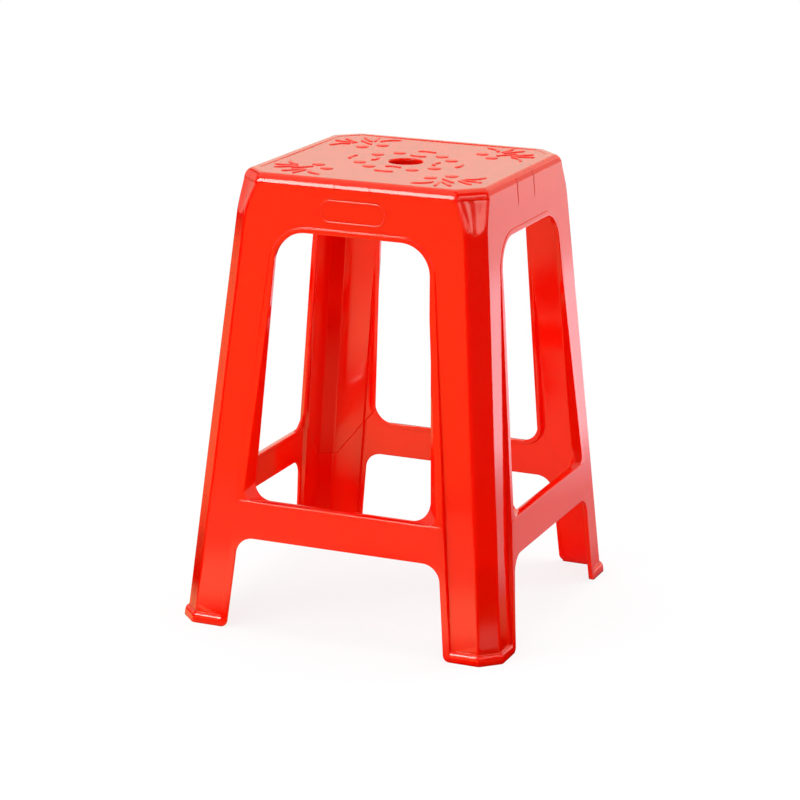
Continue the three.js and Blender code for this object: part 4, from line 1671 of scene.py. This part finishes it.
class STOOL_OT_studio(bpy.types.Operator):
    """Sets up the pale floor, the soft lamps, the white surroundings and the camera."""

    bl_idname = "stool.studio"
    bl_label = "Studio"

    def execute(self, context):
        self.add_floor()
        for lamp in LAMPS:
            self.add_lamp(*lamp)
        for card in CARDS:
            self.add_card(*card)
        self.add_surroundings()
        self.add_camera()
        context.scene.view_settings.view_transform = "Standard"
        return {"FINISHED"}

    def add_floor(self):
        """A pale floor that looks white and keeps the shadow. The gloss sees it as painted patches
        of light and shadow instead.
        """
        mesh = bpy.data.meshes.new("floor")
        left, right, near, far = FLOOR_EDGES
        corners = [(left, near, 0.0), (right, near, 0.0), (right, far, 0.0), (left, far, 0.0)]
        mesh.from_pydata(corners, [], [(0, 1, 2, 3)])
        floor = placed("floor", mesh)
        material = bpy.data.materials.new("Pale floor")
        material.use_nodes = True
        nodes = material.node_tree.nodes
        links = material.node_tree.links
        nodes.clear()
        path = nodes.new("ShaderNodeLightPath")
        seen = math_node(nodes, "MULTIPLY")
        tint = colour_mix(nodes)
        tint.inputs["A"].default_value = (0.8, 0.8, 0.8, 1.0)
        tint.inputs["B"].default_value = (1.0, 1.0, 1.0, 1.0)
        matt = nodes.new("ShaderNodeBsdfDiffuse")
        white = nodes.new("ShaderNodeEmission")
        place = nodes.new("ShaderNodeTexCoord")
        away = math_node(nodes, "LENGTH", "ShaderNodeVectorMath")
        fade = nodes.new("ShaderNodeMapRange")
        fade.inputs["From Min"].default_value = 0.15
        fade.inputs["From Max"].default_value = 0.95
        fade.inputs["To Min"].default_value = 0.8
        fade.inputs["To Max"].default_value = 1.0
        blend = nodes.new("ShaderNodeMixShader")
        # Gloss rays see this emission, painted with patches of light and shadow, instead of the lit
        # floor
        painted_reflection = nodes.new("ShaderNodeEmission")
        choice = nodes.new("ShaderNodeMixShader")
        out = nodes.new("ShaderNodeOutputMaterial")
        shown = None
        # Each patch paints light or shadow into the floor's reflection, over the patches before it
        for middle, reach, edge, glow in PAINTED_FLOOR_REFLECTIONS:
            mask = self.soft_patch(nodes, links, place, middle, reach, edge)
            layer = colour_mix(nodes)
            layer.inputs["A"].default_value = (0.0, 0.0, 0.0, 1.0)
            layer.inputs["B"].default_value = glow
            links.new(mask, layer.inputs["Factor"])
            if shown:
                links.new(shown, layer.inputs["A"])
            shown = layer.outputs["Result"]
        links.new(shown, painted_reflection.inputs["Color"])
        links.new(path.outputs["Is Camera Ray"], tint.inputs["Factor"])
        links.new(tint.outputs["Result"], matt.inputs["Color"])
        links.new(place.outputs["Object"], away.inputs[0])
        links.new(away.outputs["Value"], fade.inputs["Value"])
        links.new(fade.outputs["Result"], seen.inputs[0])
        links.new(path.outputs["Is Camera Ray"], seen.inputs[1])
        links.new(seen.outputs["Value"], blend.inputs["Fac"])
        links.new(matt.outputs["BSDF"], blend.inputs[1])
        links.new(white.outputs["Emission"], blend.inputs[2])
        links.new(path.outputs["Is Glossy Ray"], choice.inputs["Fac"])
        links.new(blend.outputs["Shader"], choice.inputs[1])
        links.new(painted_reflection.outputs["Emission"], choice.inputs[2])
        links.new(choice.outputs["Shader"], out.inputs["Surface"])
        mesh.materials.append(material)

    def soft_patch(self, nodes, links, place, middle, reach, edge):
        """An oval patch of the floor's painted reflection: 1 inside, fading to 0 at its edge."""
        moved = math_node(nodes, "SUBTRACT", "ShaderNodeVectorMath")
        moved.inputs[1].default_value = middle
        scaled = math_node(nodes, "DIVIDE", "ShaderNodeVectorMath")
        scaled.inputs[1].default_value = reach
        size = math_node(nodes, "LENGTH", "ShaderNodeVectorMath")
        mask = nodes.new("ShaderNodeMapRange")
        mask.inputs["From Min"].default_value = 1.0
        mask.inputs["From Max"].default_value = edge
        links.new(place.outputs["Object"], moved.inputs[0])
        links.new(moved.outputs["Vector"], scaled.inputs[0])
        links.new(scaled.outputs["Vector"], size.inputs[0])
        links.new(size.outputs["Value"], mask.inputs["Value"])
        return mask.outputs["Result"]

    def add_card(self, name, azimuths, elevations, distance, level, warmth):
        """A curved card that only shows in the gloss, with its edges in the given directions. It
        glows but lights nothing: a painted highlight or reflection.
        """
        mesh = bpy.data.meshes.new(name)
        low, high = (math.tan(math.radians(value)) for value in elevations)
        steps = 24
        corners = []
        for turn in np.radians(np.linspace(*azimuths, steps + 1)):
            for rise in (low, high):
                place = Vector((math.cos(turn), math.sin(turn), rise)) * distance
                corners.append(tuple(place + Vector((0.0, 0.0, DIRECTION_HEIGHT))))
        faces = [(2 * k, 2 * k + 2, 2 * k + 3, 2 * k + 1) for k in range(steps)]
        mesh.from_pydata(corners, [], faces)
        card = placed(name, mesh)
        material = bpy.data.materials.new(name)
        material.use_nodes = True
        nodes = material.node_tree.nodes
        nodes.clear()
        # Emission that paints the card's highlight into the gloss
        glow = nodes.new("ShaderNodeEmission")
        glow.inputs["Color"].default_value = (1.0, 1.0 - 0.3 * warmth, 1.0 - warmth, 1.0)
        glow.inputs["Strength"].default_value = level
        out = nodes.new("ShaderNodeOutputMaterial")
        material.node_tree.links.new(glow.outputs["Emission"], out.inputs["Surface"])
        mesh.materials.append(material)
        card.visible_camera = False
        card.visible_diffuse = False
        card.visible_shadow = False
        card.visible_transmission = False

    def add_lamp(self, name, place, width, height, power):
        """A soft rectangular lamp that looks at the stool and doesn't show in its gloss."""
        light = bpy.data.lights.new(name, "AREA")
        light.shape = "RECTANGLE"
        light.size = width
        light.size_y = height
        light.energy = power
        lamp = placed(name, light)
        lamp.location = place
        direction = Vector(LAMP_AIM) - Vector(place)
        lamp.rotation_mode = "QUATERNION"
        lamp.rotation_quaternion = direction.to_track_quat("-Z", "Y")
        lamp.visible_glossy = False

    def add_surroundings(self):
        """White surroundings for the camera, dark ones for gloss and a soft fill light."""
        world = bpy.data.worlds.new("Studio")
        world.use_nodes = True
        nodes = world.node_tree.nodes
        links = world.node_tree.links
        back = nodes["Background"]
        path = nodes.new("ShaderNodeLightPath")
        fill = colour_mix(nodes)
        fill.inputs["A"].default_value = (0.52, 0.52, 0.52, 1.0)
        fill.inputs["B"].default_value = (0.02, 0.02, 0.02, 1.0)
        tint = colour_mix(nodes)
        tint.inputs["B"].default_value = (1.0, 1.0, 1.0, 1.0)
        links.new(path.outputs["Is Glossy Ray"], fill.inputs["Factor"])
        links.new(fill.outputs["Result"], tint.inputs["A"])
        links.new(path.outputs["Is Camera Ray"], tint.inputs["Factor"])
        links.new(tint.outputs["Result"], back.inputs["Color"])
        back.inputs["Strength"].default_value = 1.0
        bpy.context.scene.world = world

    def add_camera(self):
        """The camera at the photograph's viewing angle."""
        camera = bpy.data.cameras.new("camera")
        camera.sensor_width = 36.0
        camera.lens = CAMERA_LENS
        camera.clip_end = 50.0
        holder = placed("camera", camera)
        yaw = math.radians(CAMERA_YAW)
        pitch = math.radians(CAMERA_PITCH)
        roll = math.radians(CAMERA_ROLL)
        level_reach = math.cos(pitch)
        ahead = Vector(
            (-math.sin(yaw) * level_reach, math.cos(yaw) * level_reach, math.sin(pitch))
        )
        level = Vector((math.cos(yaw), math.sin(yaw), 0.0))
        upright = level.cross(ahead)
        right = level * math.cos(roll) + upright * math.sin(roll)
        top = upright * math.cos(roll) - level * math.sin(roll)
        turn = Matrix((right, top, -ahead)).transposed().to_4x4()
        holder.matrix_world = Matrix.Translation(CAMERA_PLACE) @ turn
        bpy.context.scene.camera = holder


class STOOL_PT_panel(bpy.types.Panel):
    """Lists the pieces of the stool."""

    bl_idname = "STOOL_PT_panel"
    bl_label = "Stool"
    bl_space_type = "VIEW_3D"
    bl_region_type = "UI"
    bl_category = "Stool"

    def draw(self, context):
        layout = self.layout
        for operator in OPERATORS:
            layout.operator(operator.bl_idname)


OPERATORS = (
    STOOL_OT_studio,
    STOOL_OT_shell,
    STOOL_OT_ribs,
    STOOL_OT_ornament,
    STOOL_OT_creases,
    STOOL_OT_badge,
)
GROUPS = {
    "stool_shell": ShellSizes,
    "stool_border": BorderSizes,
    "stool_relief": ReliefSizes,
    "stool_finishes": Finishes,
}


def register():
    for name, group in GROUPS.items():
        bpy.utils.register_class(group)
        setattr(bpy.types.Scene, name, PointerProperty(type=group))
    for operator in OPERATORS:
        bpy.utils.register_class(operator)
    bpy.utils.register_class(STOOL_PT_panel)


def unregister():
    bpy.utils.unregister_class(STOOL_PT_panel)
    for operator in reversed(OPERATORS):
        bpy.utils.unregister_class(operator)
    for name, group in GROUPS.items():
        delattr(bpy.types.Scene, name)
        bpy.utils.unregister_class(group)


def main():
    """Builds everything in order."""
    register()
    bpy.ops.stool.studio()
    bpy.ops.stool.shell()
    bpy.ops.stool.ribs()
    bpy.ops.stool.ornament()
    bpy.ops.stool.creases()
    bpy.ops.stool.badge()


if __name__ == "__main__":
    main()
